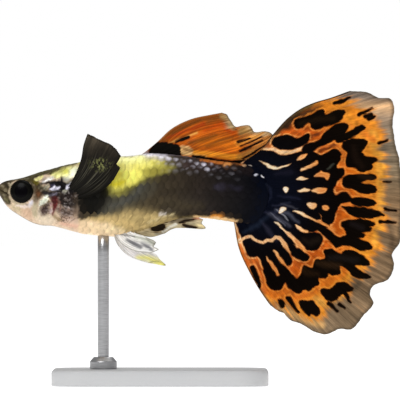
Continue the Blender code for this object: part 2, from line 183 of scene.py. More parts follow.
ANAL = {
    "root": ((16.5, -4.9), (18.2, -4.5), (20, -3.9), (22, -3.2)),
    "front": ((16.5, -4.9), (17.9, -5.5), (19.2, -5.75), (21, -5.3)),
    "rim": (
        (21, -5.3), (22, -4.75), (23.6, -4.45), (24.6, -4.7), (26.2, -4.6), (25.6, -4), (25.9, -3.6),
    ),
    "back": ((22, -3.2), (23.6, -3.22), (25, -3.3), (25.9, -3.6)),
}
PECTORAL = {
    "root": ((8.9, 0.35), (9.3, -0.4), (9.7, -1.15)),
    "front": ((8.9, 0.35), (9.74, 1.8), (10.6, 4), (10.96, 5.9), (11.4, 7.1)),
    "rim": (
        (11.4, 7.1), (12.1, 6.92), (13.2, 6.3), (14.3, 5.75), (15.1, 5), (15.5, 4.3), (15, 3.7),
        (15.5, 2.9),
    ),
    "back": ((9.7, -1.15), (12, -0.6), (14.2, 0.9), (15.5, 2.9)),
}
PELVIC_LEFT = {
    "root": ((14.5, -5.2), (15.4, -5.15), (16.4, -4.95)),
    "front": ((14.5, -5.2), (15.5, -6.5), (17, -7.4), (19.2, -7.75)),
    "rim": ((19.2, -7.75), (20.3, -7.3), (19.6, -6.9), (19.9, -6.5), (18.7, -5.9)),
    "back": ((16.4, -4.95), (17.3, -5.3), (18, -5.5), (18.7, -5.9)),
}
PELVIC_RIGHT = {
    "root": PELVIC_LEFT["root"],
    "front": ((14.5, -5.2), (15, -6.6), (16.3, -8), (18, -8.7), (19.4, -9)),
    "rim": ((19.4, -9), (21.1, -9.3), (20.4, -8.6), (20, -8.1)),
    "back": ((16.4, -4.95), (17.8, -6.2), (19, -7.3), (20, -8.1)),
}

# How far the fins stand, sway and ripple sideways; a fin's reach runs from 0 at its root to 1 at its rim
CAUDAL_SWAY = 0.75
CAUDAL_SWAY_WAVES = 1.1
CAUDAL_SWAY_PHASE = 0.6
CAUDAL_RIPPLE = 0.3
CAUDAL_RIPPLE_WAVES = 5
DORSAL_SWAY = 1.25
DORSAL_SWAY_SPAN = (24.5, 30.8)
PECTORAL_ROOT_OFFSET = 2.45
PECTORAL_FLARE = 2.4
PECTORAL_RIPPLE = 0.25
PELVIC_ROOT_OFFSET = 0.75
PELVIC_SPREAD = 1.3

# Colours, as red, green and blue from 0 to 255
SLATE = (68, 66, 56)
NIGHT = (0, 3, 16)
GOLD = (184, 160, 106)
CREAM = (240, 210, 168)
PEACH_SKIN = (214, 188, 160)
# Pale lilac of the painted glints on the pearly scales
PEARL_GLINT = (240, 236, 250)
EYE_RIM_DARK = (10, 8, 8)
INK_BROWN = (36, 28, 20)
NET_DARK = (30, 24, 22)
NET_PALE = (168, 158, 154)
# Greyish brown along the underside of the throat: painted shade
THROAT_UNDERSIDE_SHADE = (128, 116, 98)
SPECK_OLIVE = (142, 144, 86)
HAIRLINE = (104, 100, 84)

# Flank and crown colours by distance behind the snout, and the lower edges of the dark flank and of its gold
FLANK_STOPS = (
    (9.5, (13, 11, 8)), (13.5, SLATE), (17, (62, 56, 42)), (19.4, (60, 51, 37)), (22.3, (51, 43, 32)),
    (25.4, (38, 31, 26)), (28.4, (19, 15, 15)), (30.4, (4, 4, 10)), (32, NIGHT),
)
# Along the back, the pale lilac white between 15 and 21.5 mm behind the snout is a painted highlight
CROWN_STOPS = (
    (1, (82, 75, 55)), (8, (92, 87, 58)), (9.5, (112, 108, 66)), (11, (124, 120, 76)),
    (12.5, (160, 156, 110)), (15, (214, 210, 170)), (17, (240, 238, 236)), (19.4, (214, 212, 224)),
    (21.5, (138, 126, 132)), (25, (60, 46, 40)), (26.2, (150, 92, 38)), (28.6, (110, 62, 26)),
    (30.2, (18, 14, 14)), (31, (6, 6, 10)),
)
FLANK_EDGE = (
    (60, 79, 95, 112, 128, 150, 170, 182, 196, 215, 235, 250, 262),
    (214, 219, 218, 215, 210.5, 211.5, 217.5, 219, 216.5, 217.5, 222.5, 236, 246),
)
GOLD_EDGE = ((60, 80, 92, 104, 120, 140, 160, 200), (218, 220, 220.5, 222, 229, 236, 234, 226))

# By column: how softly the dark flank ends, and how much of the cream lies under the gold
FLANK_SOFTNESS = ((75, 85, 115, 150, 190, 240), (1, 1.5, 6, 7, 2.5, 1.5))
CREAM_COVER = ((60, 80, 110, 130, 160), (1, 1, 1, 0.55, 0.2))
HEAD_BACK_COLUMNS = (79.4, 78.4)
EYE_SPOT = (
    PHOTO_SNOUT_COLUMN + PHOTO_PER_MM * EYE_CENTRE[0], PHOTO_AXIS_ROW - PHOTO_PER_MM * EYE_CENTRE[1],
)

# Marks: a colour, an edge softness, a strength, half widths where it is a line, then its columns and rows
BODY_MARKS = (
    # Yellow of the nape led over the shoulder to the saddle, hidden by the chest fin in the photograph
    ((206, 200, 116), 5, 0.9, (), 72, 146, 114, 138, 114, 168, 104, 170, 92, 169, 76, 172),
    # Saddle of yellow behind the chest fin
    ((234, 224, 106), 4, 0.95, (), 110, 150, 142, 150, 158, 156, 172, 160, 176, 166, 166, 170, 152, 174,
     142, 179, 134, 186, 122, 193, 110, 195, 106, 188, 109, 172),
    ((248, 244, 174), 3, 0.9, (), 112, 146, 142, 150, 150, 159, 132, 163, 113, 165),
    # Greyish line along the back's edge: painted shade
    ((190, 188, 164), 1.5, 0.7, (1.5, 1.5), 128, 154.4, 136, 153.6, 144, 154.5),
    ((255, 250, 150), 2.5, 0.8, (2.4, 2.4), 121, 162, 136, 161.6, 149, 162.5),
    ((236, 226, 130), 3, 0.7, (), 118, 166, 132, 165, 136, 171, 130, 177, 119, 176),
    # Dark olive line between the saddle's upper and lower parts: painted shadow
    ((104, 94, 28), 2.5, 0.55, (1, 2.6, 2.6), 134, 171.5, 146, 170.5, 158, 170, 168, 169),
    ((150, 146, 110), 2, 0.6, (2, 2), 148, 158.4, 156, 158.5, 162, 158),
    ((255, 244, 112), 3, 0.95, (), 112, 172, 128, 170, 144, 171, 139, 181, 126, 185, 113, 185),
    ((242, 224, 84), 2, 0.9, (2, 3), 112.5, 181, 116, 177, 119, 174),
    ((238, 220, 34), 2.5, 0.9, (), 109, 182, 117, 180.4, 128, 180.6, 124, 185, 118, 187.6, 109, 187.4),
    ((144, 134, 52), 2.5, 0.7, (), 142, 172, 150, 168, 162, 166, 174, 164, 168, 170, 154, 175, 144, 178),
    ((170, 160, 70), 1.4, 0.6, (1, 1.6), 146, 161, 153, 164, 161, 164, 170, 160),
    ((86, 80, 26), 2, 0.75, (1.8, 1.8), 109, 192.4, 118, 192.4, 127, 190.2, 135, 186, 143, 180.4),
    # Slate flank under the saddle, bronze below it, and the black shoulder with its sharp front edge
    (SLATE, 6, 0.6, (), 110, 197, 124, 195, 140, 188, 154, 180, 158, 188, 146, 198, 128, 208, 108, 209),
    ((72, 73, 72), 3, 0.6, (2, 3), 112, 206, 124, 202, 136, 194, 144, 185),
    ((76, 66, 44), 6, 0.4, (3, 4, 3), 140, 205, 158, 203, 178, 204, 200, 206),
    ((16, 14, 8), 5, 1, (), 80, 182, 98, 180, 109, 184, 110, 197, 106, 207, 98, 212, 82, 216),
    ((12, 10, 6), 1.2, 1, (), 78, 186, 92, 186, 101, 202, 96, 216, 88, 219, 79, 220.5, 77, 205),
    # Pale line low along the belly: a painted highlight
    ((246, 226, 176), 3, 0.45, (1.5, 2.6, 2), 92, 228, 108, 228.6, 122, 231),
    ((206, 176, 116), 2.5, 0.7, (2, 3.5), 92, 220, 106, 219, 122, 221, 132, 226),
    ((96, 78, 50), 0.9, 0.6, (0.7, 0.5), 138, 226, 150, 222, 166, 217),
    ((232, 212, 160), 0.8, 0.7, (0.8, 0.5), 148, 222.5, 160, 217.5, 174, 214.5),
    ((220, 210, 200), 0.8, 0.9, (1.6, 1), 161, 214, 165, 213),
    # Brown along the root of the back fin; pearly scales at its start, their pale lilac a painted highlight;
    # painted glints at the tail's root
    ((56, 42, 40), 3, 0.8, (4, 4), 168, 162, 190, 164, 212, 167),
    ((70, 60, 48), 2.5, 0.7, (2, 2.5), 166, 162.6, 174, 162, 181, 163),
    ((24, 17, 18), 3, 0.8, (3, 4), 212, 168, 228, 170, 248, 172),
    ((198, 112, 40), 1.2, 0.9, (1.2, 1.8, 1.4), 202, 160, 214, 161, 230, 162.4, 242, 163.6),
    ((20, 12, 10), 0.9, 0.85, (0.8, 1), 206, 163.6, 220, 165, 240, 166.4),
    # Pale lilac along the back's edge: a painted highlight on the pearly scales
    ((226, 222, 236), 1.6, 0.95, (1.6, 2.4, 1.6), 137, 152, 150, 154, 166, 157),
    ((150, 136, 160), 1, 0.6, (0.8, 1), 148, 157, 158, 159.5, 168, 160),
    ((236, 158, 84), 0.9, 0.9, (1.4, 1.2), 224, 165, 229, 163.5),
    ((226, 184, 140), 0.8, 0.85, (1.2, 1), 242, 165, 244, 164),
    ((214, 198, 184), 0.8, 0.85, (1.1, 0.9), 248, 165, 250, 164.5),
    # Two painted glints at the tail's root
    ((226, 226, 240), 0.5, 0.9, (1, 1), 256.2, 176, 257, 175.4),
    ((236, 232, 236), 0.5, 0.95, (1, 0.9), 262, 176.2, 265, 177.4),
    ((60, 56, 74), 3, 0.4, (), 213, 183, 221, 184, 222, 191, 214, 191),
    ((50, 46, 64), 2.4, 0.35, (1.4, 1.6), 226, 186, 232, 189),
    ((52, 54, 66), 1.2, 0.7, (0.8, 1.2), 252, 180, 254, 184, 250, 187),
    ((36, 40, 54), 1.2, 0.7, (0.8, 1.4), 266, 184, 270, 189, 270, 197),
    # Orange strip under the tail stem
    ((252, 206, 146), 1, 0.95, (1.3, 1.5), 194, 216.5, 212, 218.4, 226, 219, 236, 221.6),
    ((236, 146, 46), 1.2, 0.8, (1.4, 1.2), 211, 216, 222, 217),
)
HEAD_MARKS = (
    # Cheek and throat
    ((190, 174, 138), 3, 0.85, (), 9, 203, 20, 204.5, 24, 208, 22, 214, 14, 211),
    ((204, 170, 142), 3, 0.85, (), 20, 207, 31, 208, 33, 214, 31, 221, 24, 218),
    ((222, 204, 178), 3, 0.9, (), 37, 214, 52, 214, 56, 222, 44, 226, 36, 222),
    ((222, 170, 146), 2.2, 0.75, (1.8, 2.4), 62, 223, 70, 225, 82, 227),
    ((144, 120, 76), 1.4, 0.75, (1.4, 1.6), 55, 216, 58, 219, 61.5, 219.5),
    ((200, 168, 148), 1.8, 0.85, (), 61, 215, 70, 215, 78, 218.5, 74, 223, 62, 221),
    ((152, 124, 104), 1, 0.6, (0.6, 0.9, 0.5), 62, 217, 67, 218.5, 73, 218),
    ((190, 178, 146), 1.6, 0.85, (), 32.6, 202, 37.6, 202, 38.4, 210, 38, 218, 33.6, 217, 32.6, 208),
    ((226, 212, 188), 1.4, 0.8, (), 38.5, 204, 41, 206, 40.5, 214, 38.5, 217),
    ((120, 106, 86), 2.2, 0.85, (), 33, 196, 39, 195.5, 41, 199, 37.6, 203, 33, 202),
    ((234, 228, 234), 1, 1, (), 28.2, 205, 30.1, 201.6, 33, 199, 33.8, 202.3, 31.5, 206.3, 29.4, 208),
    ((230, 212, 200), 1.1, 0.9, (1, 1.5, 1), 17, 205.4, 25, 206.6, 30, 205.4),
    ((120, 108, 110), 0.8, 0.7, (0.9, 0.7), 26.6, 204, 28.4, 204.8),
    # Gill cover
    ((42, 33, 30), 2, 1, (), 58.4, 193, 72, 189, 80, 188, 81, 205, 74, 210, 66, 209, 58.4, 204),
    ((116, 98, 88), 2.2, 0.95, (), 55.5, 205, 66, 207, 73, 208, 78, 207, 77.5, 216, 66, 217.5, 58, 214),
    ((72, 60, 48), 1.6, 0.85, (), 73.5, 194, 79, 192, 79, 210, 75.5, 214, 73, 205),
    ((140, 116, 96), 2.2, 0.85, (), 73, 209, 78, 208, 79, 219, 73.5, 218),
    ((146, 102, 90), 1, 0.7, (0.5, 0.7, 0.5), 59.4, 200, 60.8, 206, 60, 211),
    ((98, 36, 36), 1.3, 1, (), 51.6, 195, 55, 194, 58.8, 195, 59.4, 199, 58.4, 204, 57.2, 208, 55.6, 212,
     53.4, 215.6, 51.8, 213.6, 52.8, 209, 52.4, 204, 50.8, 199),
    ((72, 44, 44), 1.4, 0.6, (2, 1.4), 50.4, 196.6, 53.4, 198, 54.6, 203),
    ((124, 62, 56), 0.9, 0.7, (0.6, 0.7), 58, 197, 57.6, 203),
    ((206, 190, 184), 0.7, 0.85, (0.4, 0.8, 0.4), 63.6, 206.4, 67.6, 207.4, 71.6, 208.8),
    ((44, 34, 34), 0.8, 0.8, (0.5, 0.8, 0.5), 61.6, 203.2, 67, 204.6, 72.4, 204.2),
    ((160, 144, 136), 0.6, 0.55, (0.4, 0.6, 0.3), 64.6, 199.4, 67.6, 200.2, 70.4, 200.2),
    ((92, 74, 66), 0.8, 0.7, (0.4, 0.7, 0.4), 61, 211.4, 66, 212.6, 71, 213),
    ((198, 152, 154), 0.9, 0.9, (), 50.3, 203.5, 52.2, 202.6, 52.6, 206, 50.8, 207),
    ((214, 186, 182), 1, 0.95, (), 50.6, 208.3, 53, 207.3, 52.5, 212, 50.5, 215, 49.6, 211),
    ((86, 68, 63), 2, 1, (), 40.4, 208, 43.9, 205.7, 47.4, 202.7, 49.7, 201.6, 51, 204.4, 49.4, 207.4,
     50.7, 209, 49, 213, 45.9, 215, 41.6, 215.6, 39.8, 212),
    ((92, 76, 40), 0.8, 0.9, (0.8, 1), 44.6, 205.6, 47.4, 203.6, 49.6, 201.4),
    # Behind the eye
    ((62, 51, 34), 1.8, 1, (), 32.6, 180, 37, 181, 42, 184, 46, 190, 44, 196, 39, 199, 34.6, 198, 34.2,
     192, 33.4, 186),
    ((104, 88, 70), 1.1, 0.4, (1, 1.2, 1), 34.8, 187, 35.4, 193, 34.6, 199),
    ((112, 70, 44), 2.4, 0.9, (), 36.4, 192, 39.5, 190.6, 41.6, 193.6, 40, 197, 37, 197),
    ((50, 44, 42), 1.6, 1, (), 42, 188, 49, 190, 53, 192, 58, 192, 61.5, 192.5, 60.6, 198, 57, 197, 52,
     195.4, 49, 196.6, 43, 196.4),
    ((112, 104, 82), 1.3, 0.8, (), 40.6, 186.4, 48, 185, 50, 190, 45, 191.4, 41, 190.4),
    ((74, 64, 46), 0.8, 0.7, (0.6, 0.9, 0.6), 37.6, 186, 40.6, 188.6, 44.6, 190.8),
    ((134, 122, 92), 0.9, 0.9, (0.9, 0.8), 39.4, 187.6, 42, 185.2),
    ((158, 154, 132), 0.9, 0.9, (0.8, 1.1, 0.7), 45, 189, 47, 186.8, 49, 185.2),
    ((132, 116, 98), 0.7, 0.8, (0.7, 0.7), 41, 190.6, 42.4, 190.2),
    ((126, 120, 136), 0.9, 0.85, (0.7, 1, 0.7), 50, 195.6, 55, 193.8, 61, 190.6),
    ((34, 30, 34), 0.9, 0.8, (0.6, 0.8), 44, 194.8, 50, 193.2, 55, 191.8),
    ((246, 250, 228), 1, 1, (), 39.2, 204, 42, 199, 45, 196.6, 48.2, 194.8, 49.3, 196, 48.4, 198, 48.8,
     200.4, 46, 202.4, 44, 204.4, 39.8, 206.4),
    ((180, 180, 150), 0.8, 0.7, (0.5, 0.7), 42.4, 203, 45, 200, 47.4, 198.6),
    # Nape
    ((216, 210, 194), 1.1, 1, (), 41.6, 182, 43.8, 180, 46, 178.4, 49, 177, 52.4, 176, 55, 177.4, 53.4,
     179, 51, 180.6, 47.4, 181.6, 43.6, 182.3),
    # Grey lilac on the white nape patch: painted shade
    ((172, 154, 142), 1, 0.85, (1, 1.3), 42.8, 180.4, 45.4, 178.4),
    ((244, 240, 238), 0.8, 0.95, (0.6, 0.9, 0.7), 43, 181.5, 47.5, 180.7, 51.4, 179.2),
    ((246, 242, 156), 1.3, 1, (), 50, 175, 53, 172.8, 56.6, 171.2, 61.2, 169.8, 63.8, 167.8, 67.9, 166,
     71.4, 166.9, 76.5, 166, 78.2, 168, 77.2, 173.5, 73.7, 177.2, 71.4, 178.8, 67.9, 178.3, 63.3, 177, 60,
     178, 57, 179.4, 55, 177),
    ((214, 210, 70), 1.8, 0.9, (), 61.5, 172, 64.8, 168.4, 68.4, 168.8, 69, 172.4, 65.5, 174),
    ((240, 244, 226), 2, 0.9, (), 70.5, 168.5, 78, 166.8, 77.5, 174, 72.5, 178.4, 69, 177.4, 70, 172),
    ((176, 180, 172), 1.5, 0.9, (), 63, 178, 66, 176.6, 70.4, 177.6, 69, 181.6, 64.6, 182),
    ((110, 104, 36), 0.9, 0.9, (0.9, 1.2, 0.9), 48, 174.4, 55, 171.2, 63, 167.6),
    ((158, 152, 70), 0.9, 0.8, (0.6, 0.9, 0.5), 54.4, 175.6, 58, 172.8, 63.4, 170.8),
    ((150, 146, 104), 0.8, 0.7, (0.7, 0.5), 55.4, 177.2, 57, 175),
    ((176, 170, 96), 1.6, 0.8, (1.4, 2), 60, 168, 70, 164.6, 80, 161),
    ((112, 106, 62), 0.8, 0.8, (0.6, 0.7), 66, 166, 71.5, 165.6, 78, 165),
    # Black mark with its two bright flecks
    ((20, 18, 18), 1.1, 1, (), 39.6, 183, 44.9, 182.2, 49, 181.3, 54.1, 180.1, 58.7, 180.6, 60.2, 179.4,
     61.4, 176.6, 63.6, 177, 63.9, 180.9, 64.8, 182.2, 67.9, 182.2, 72.1, 180, 76, 178, 78, 184, 77, 192,
     70, 194, 62, 194, 57.1, 192.2, 54.1, 191.7, 50, 191.1, 48.6, 188.4, 50.4, 184.6, 47, 184, 43.4, 184.6),
    ((62, 58, 78), 1, 0.9, (), 50.4, 187, 52, 184.2, 55, 184, 54.6, 186.2, 52.4, 187.6),
    ((238, 234, 250), 0.7, 1, (), 49.3, 189.3, 52.4, 187.8, 54.6, 185.9, 56.4, 186.9, 60.6, 185.7, 60.4,
     187.9, 58.4, 189.6, 55.1, 190.4, 51.5, 190.4),
    ((234, 230, 244), 0.7, 1, (), 65.8, 189, 65.9, 187.6, 68, 185.3, 70.4, 183.2, 72.2, 182.8, 71.1, 185.7,
     69, 188.2),
    ((206, 202, 182), 0.7, 1, (), 62.7, 190.9, 64.8, 189.5, 68.4, 189.9, 67.6, 191.5, 65.3, 192.5, 63.3,
     192),
    # Crown
    ((66, 60, 36), 1.3, 1, (), 11, 181.6, 6, 178, 8, 170, 24, 168, 36, 168, 50, 163, 80, 154, 80, 161.6,
     72, 164, 62, 167.4, 56, 170.2, 50, 172.6, 44, 175.2, 38, 177.4, 34.2, 180, 33.4, 184, 29, 182, 25,
     180.4, 18, 179.4),
    ((96, 86, 18), 1.3, 0.95, (), 32.4, 180.5, 35, 180.6, 39.8, 181.6, 39, 184.6, 34, 184.8, 31.6, 183),
    # Greyish olive streak along the crown above the eye: a painted highlight
    ((118, 112, 90), 0.7, 0.8, (0.6, 0.8, 0.4), 17, 180.2, 23, 178.8, 29, 178.6),
    ((64, 56, 26), 0.9, 0.85, (0.8, 1.2, 0.9), 29.6, 179.8, 32.4, 180.8, 33.4, 183.4),
    ((98, 92, 60), 0.8, 0.7, (0.5, 0.8, 0.4), 32, 175.6, 40, 172.8, 50, 170, 60, 166.8),
    ((34, 29, 10), 0.9, 0.8, (0.6, 0.9, 0.6), 36, 177, 44, 174.4, 52, 171.6, 60, 168.4),
    ((72, 66, 24), 0.8, 0.85, (0.4, 0.9, 0.4), 49, 174.4, 53, 172.6, 56, 170.4),
    ((92, 86, 30), 0.7, 0.8, (0.3, 0.7, 0.3), 57.6, 172.8, 60.6, 170.8, 62.6, 169),
    ((30, 26, 16), 0.8, 0.9, (0.4, 0.8, 0.4), 56, 167.6, 61, 165.8, 66, 164.6),
    ((44, 40, 24), 0.8, 0.85, (0.4, 0.8, 0.5), 66, 166, 71.6, 164.4, 78, 163),
    ((232, 226, 150), 0.8, 1, (), 34.5, 180, 37.4, 177.8, 40.4, 176.4, 43.8, 175.4, 42.8, 177.8, 41, 179.5,
     39.2, 181, 35.8, 181.4),
    # Snout and lips
    ((72, 62, 43), 1.5, 1, (), -6, 176, 9, 178, 14.5, 180.6, 11.2, 184, 9.3, 190, 9.6, 196, 12, 202.5, 9,
     206, 4, 202.5, -6, 198),
    ((134, 122, 98), 0.9, 0.9, (1.2, 1), 2, 185.4, 3.6, 186.8),
    ((124, 112, 88), 0.9, 0.85, (1.2, 1), 5.4, 190, 6.6, 191.4),
    ((120, 110, 86), 0.9, 0.85, (1.2, 1), 4.6, 195.4, 6, 194.4),
    ((160, 148, 124), 0.9, 0.9, (0.9, 0.8), 9.4, 183.6, 11, 184.2),
    ((44, 37, 26), 1, 0.9, (1.3, 1.2), 6.4, 184, 7.8, 187.4),
    ((50, 43, 30), 0.9, 0.85, (1, 1.3, 0.7), 2, 183, 6, 181.4, 11, 181.6),
    ((112, 106, 72), 1.1, 0.85, (1.4, 1.4), 5.6, 198.8, 8.4, 201),
    ((54, 47, 30), 0.9, 0.9, (1, 0.9), 8.8, 200.6, 10.6, 202.6),
    ((58, 48, 33), 0.9, 0.8, (0.8, 0.9), 4.6, 192.8, 8, 194.6),
    ((42, 32, 20), 0.5, 0.9, (0.5, 0.55, 0.4), -4, 189.2, 1.6, 190.4, 8, 194),
    # Rim of the eye socket
    ((168, 156, 128), 0.9, 0.95, (0.7, 0.5, 1, 0.7), 12, 183.2, 10.4, 186.4, 9.9, 190, 9.8, 194.6, 11.6,
     199.2, 15.4, 202.8, 20, 204.6, 25.6, 204),
    ((112, 104, 92), 0.8, 0.85, (0.7, 0.8, 0.6), 27, 200.4, 29.4, 198, 31.4, 195.2),
    ((54, 44, 32), 0.8, 0.9, (0.7, 0.9, 0.6), 30.4, 182.6, 32.8, 186, 34, 190, 33.8, 193.6),
    ((66, 60, 40), 1, 0.9, (0.8, 1, 0.8), 13, 181.8, 16.6, 179.8, 21, 179, 26, 179.8, 30.6, 182.4, 33.6,
     187, 34, 192),
)

# Patches of netting on the gill cover, cheek and throat, and the shade over the face: a centre and radii
HEAD_NETS = (((68, 203), (11, 14)), ((45.4, 208.6), (6, 7)), ((68, 219), (10, 4)))
FACE_SHADE = ((54, 197), (25, 19))

# Ink of the tail: closed outlines, then lines, each after its half widths
TAIL_INK = (
    (294, 121, 299, 119, 305, 117, 311, 115, 316, 112, 320, 109.5, 323.5, 110, 324, 114, 327, 116, 333,
     112.5, 338, 110.5, 346, 111.5, 344, 115.5, 341, 120, 333, 124, 325, 126, 320, 128.5, 315.5, 129, 312,
     127, 310, 122.5, 307.5, 121.5, 304.5, 125, 299, 129, 295, 127.5),
    (272.5, 140, 277.5, 137.5, 283.5, 136, 287, 135, 291, 137, 297, 139, 302, 137, 306, 134, 310, 134.5,
     308.5, 139, 307, 142, 303, 145, 296, 148, 289.5, 150, 283.5, 149, 276, 147.5, 272, 144.5),
    (347, 123.5, 342, 123, 336, 124.5, 332, 127, 327, 131, 323, 135.5, 320, 140, 314.5, 142.5, 307.5, 143,
     303.5, 146, 302, 150.5, 306, 153, 311, 152.5, 313.5, 150, 322, 145.5, 330, 142.5, 334, 139.5, 337,
     140.5, 340, 137, 344, 134, 347, 130, 348.5, 126),
    (243, 163, 249, 158.6, 255, 154.4, 261, 150.6, 266, 151.2, 271, 151, 276, 153.5, 282, 155.5, 287, 156,
     293, 154.5, 298, 153, 302, 150.5, 306, 152.5, 313.5, 152, 317, 154, 321.5, 157, 327, 153, 333, 149.5,
     338, 149.5, 341.5, 153.5, 340.5, 158, 338.5, 162.5, 335.5, 166.5, 337, 169, 342, 168, 344.5, 173, 342,
     176.5, 337.5, 179.5, 336, 183, 334.5, 186.5, 332.5, 190, 333, 193.5, 335.5, 195.5, 339, 194.5, 342,
     192.5, 347, 193, 350, 196.5, 353, 199, 352, 201.5, 341, 202, 339, 205, 337.5, 207, 336.5, 211, 334.5,
     214.5, 334, 219, 333, 223, 330, 224, 323, 229, 312, 231, 305, 233, 300, 240, 296, 244, 290, 243, 284,
     240, 278, 245, 276, 250, 281, 256, 287, 262, 283, 266, 270, 262, 259, 256.5, 256, 255.5, 252.5, 257.5,
     248, 256, 246, 251.5, 244, 243.5, 240, 232, 236, 222, 232, 200, 234, 175),
    (344, 141, 350, 139, 357, 139, 364.5, 140, 368, 143, 365, 147, 361.5, 150.5, 361.5, 152.5, 364.5, 156,
     367.5, 158, 373, 157.5, 378.5, 159.5, 376, 162, 371, 163.5, 373.5, 166.5, 371, 170, 365, 171, 360,
     172.5, 357.5, 169, 352.5, 167.5, 346.5, 167, 345.5, 164, 346.5, 158.5, 349, 152.5, 345.5, 151, 342.5,
     148, 342.5, 144.5),
    (343.5, 177.5, 350, 175.5, 359, 175, 371, 174.5, 375.5, 175.5, 376.5, 178, 372, 179.5, 364.5, 180.5,
     359, 183, 364.5, 184.5, 372, 185, 377, 188, 376, 191, 371, 193.5, 361.5, 193.5, 358, 192, 354, 188.5,
     349, 187.5, 344, 186.5, 342, 183),
    (349.5, 200, 356, 197.5, 364.5, 198.5, 373, 200, 376.5, 203, 373.5, 205.5, 366.5, 206, 360, 206.5, 353,
     205),
    (340.5, 206, 347.5, 207, 361.5, 207.5, 373, 210, 379, 212, 385.5, 215, 379, 216.5, 373, 218, 367.5,
     218, 359, 217.5, 353, 216, 349, 214, 347, 211, 345, 209),
    (340.5, 222, 350, 220.5, 360, 219.5, 367.5, 220.5, 374.5, 223, 374.5, 225.5, 367.5, 227, 371.5, 228.5,
     371, 231, 364, 232, 360.5, 232.5, 365, 234.5, 364.5, 237, 359.5, 237.5, 352, 238, 344, 238, 347,
     232.5, 345, 229.5, 341.5, 226),
    (292, 212, 302, 217, 311, 222, 316, 224.5, 321.5, 226, 327, 228.5, 332, 232.5, 334.5, 236, 338.5,
     237.5, 344.5, 236.5, 353, 237, 360, 239, 365, 241, 370.5, 244.5, 372.5, 248, 367.5, 250, 360.5, 250,
     355, 247.5, 350, 245, 344.5, 244.5, 340, 246, 337, 247.5, 334, 245, 330, 241, 324.5, 236, 318.5, 231,
     313, 227, 304, 227, 293, 222),
    (295.5, 233.5, 301.5, 233, 307.5, 234, 314, 232, 319, 234, 323, 237.5, 322.5, 241.5, 320, 244.5, 319.5,
     247.5, 315, 250, 307.5, 250, 303, 247, 300, 242.5, 296, 238),
    (281, 236, 285.5, 233.5, 289.5, 239, 293.5, 244.5, 297.5, 249, 303.5, 252, 308, 256, 309, 257, 307.5,
     260.5, 303, 261, 297.5, 258.5, 292.5, 255, 289.5, 250.5, 286.5, 244.5, 282, 240),
    (272, 241, 278, 242, 282.5, 247, 288, 252.5, 291.5, 259, 291.5, 263.5, 288, 265.5, 285, 263.5, 282,
     258.5, 278.5, 254, 275, 249, 270, 246),
    (256, 255, 259, 256.5, 263, 266, 265.5, 277.5, 267.5, 285, 272, 289.5, 278, 290.5, 282, 288, 284.5,
     282.5, 286, 281, 288.5, 287, 294.5, 292, 299, 293.5, 301.5, 291, 303.5, 288.5, 310.5, 291, 313, 288,
     314, 285.5, 319, 284.5, 317.5, 277.5, 321.5, 277.5, 326, 278.5, 327, 275.5, 326, 272, 330, 274, 336,
     275, 340, 273.5, 339, 270, 338.5, 265, 344.5, 266, 349.5, 271, 352.5, 276, 359, 278, 367.5, 278.5,
     371.5, 277.5, 367.5, 274.5, 360.5, 271.5, 355, 267.5, 353.5, 264.5, 361.5, 265, 368.5, 265, 369,
     262.5, 364.5, 257, 359, 253.5, 353, 251, 347.5, 250, 343, 251.5, 342.5, 254.5, 338.5, 254, 334, 250.5,
     329, 249, 324, 250.5, 325.5, 254.5, 326, 259, 323, 260, 316.5, 259.5, 315, 263, 313, 267, 311.5, 269,
     305, 266, 302.5, 267.5, 302, 272, 299, 277.5, 297, 280, 293.5, 277.5, 289.5, 271.5, 285, 267, 281,
     264.5, 276, 256, 270, 250, 262, 249),
    (320.5, 289, 324, 288, 327, 289.5, 331, 289, 336, 283.5, 341, 282, 346, 283.5, 350.5, 287, 353.5, 289,
     349, 292, 344.5, 292, 342.5, 293.5, 339, 296, 335.5, 300, 331, 301, 326, 299, 322, 295),
    (299.5, 300.5, 303, 300.5, 307.5, 301, 312, 301, 315.5, 303.5, 319, 309, 320, 313.5, 317.5, 316.5, 314,
     314.5, 311, 313, 309, 315.5, 306, 313, 302.5, 308.5, 300, 304.5),
    (278, 299, 281.5, 299.5, 284.5, 303.5, 284.5, 307.5, 281.5, 307, 278.5, 303),
)
TAIL_INK_LINES = (
    ((2.6, 2.9, 2.6), 338, 140, 350, 135, 362, 127.5),
    ((1.9, 1.6, 0.6), 335.5, 103, 342, 101, 350.5, 97.5),
    ((1.5, 1.1, 0.4), 359, 115, 366, 111.5, 373, 108.5),
    ((1.4, 1), 365.5, 116.5, 371.5, 114.5),
    ((1.5, 0.7), 368.5, 119, 375, 117),
    ((0.7, 0.9), 378.5, 143, 387.5, 140),
    ((0.9, 0.5), 385, 209, 396, 211),
    ((1.2, 0.5), 380, 221.5, 396, 222.5),
    ((2, 1.7, 0.7), 288.5, 298, 293, 304.5, 298, 311.5),
    ((1.8, 1.9, 0.7), 252.5, 268, 257, 277, 260, 286.5),
    ((1.7, 0.8), 329, 303.5, 337, 311),
    ((1.2, 0.8), 339, 304, 344.5, 308),
    ((1.6, 0.7), 345, 293, 350, 302),
    ((0.3, 0.8), 391, 182, 384, 182),
)

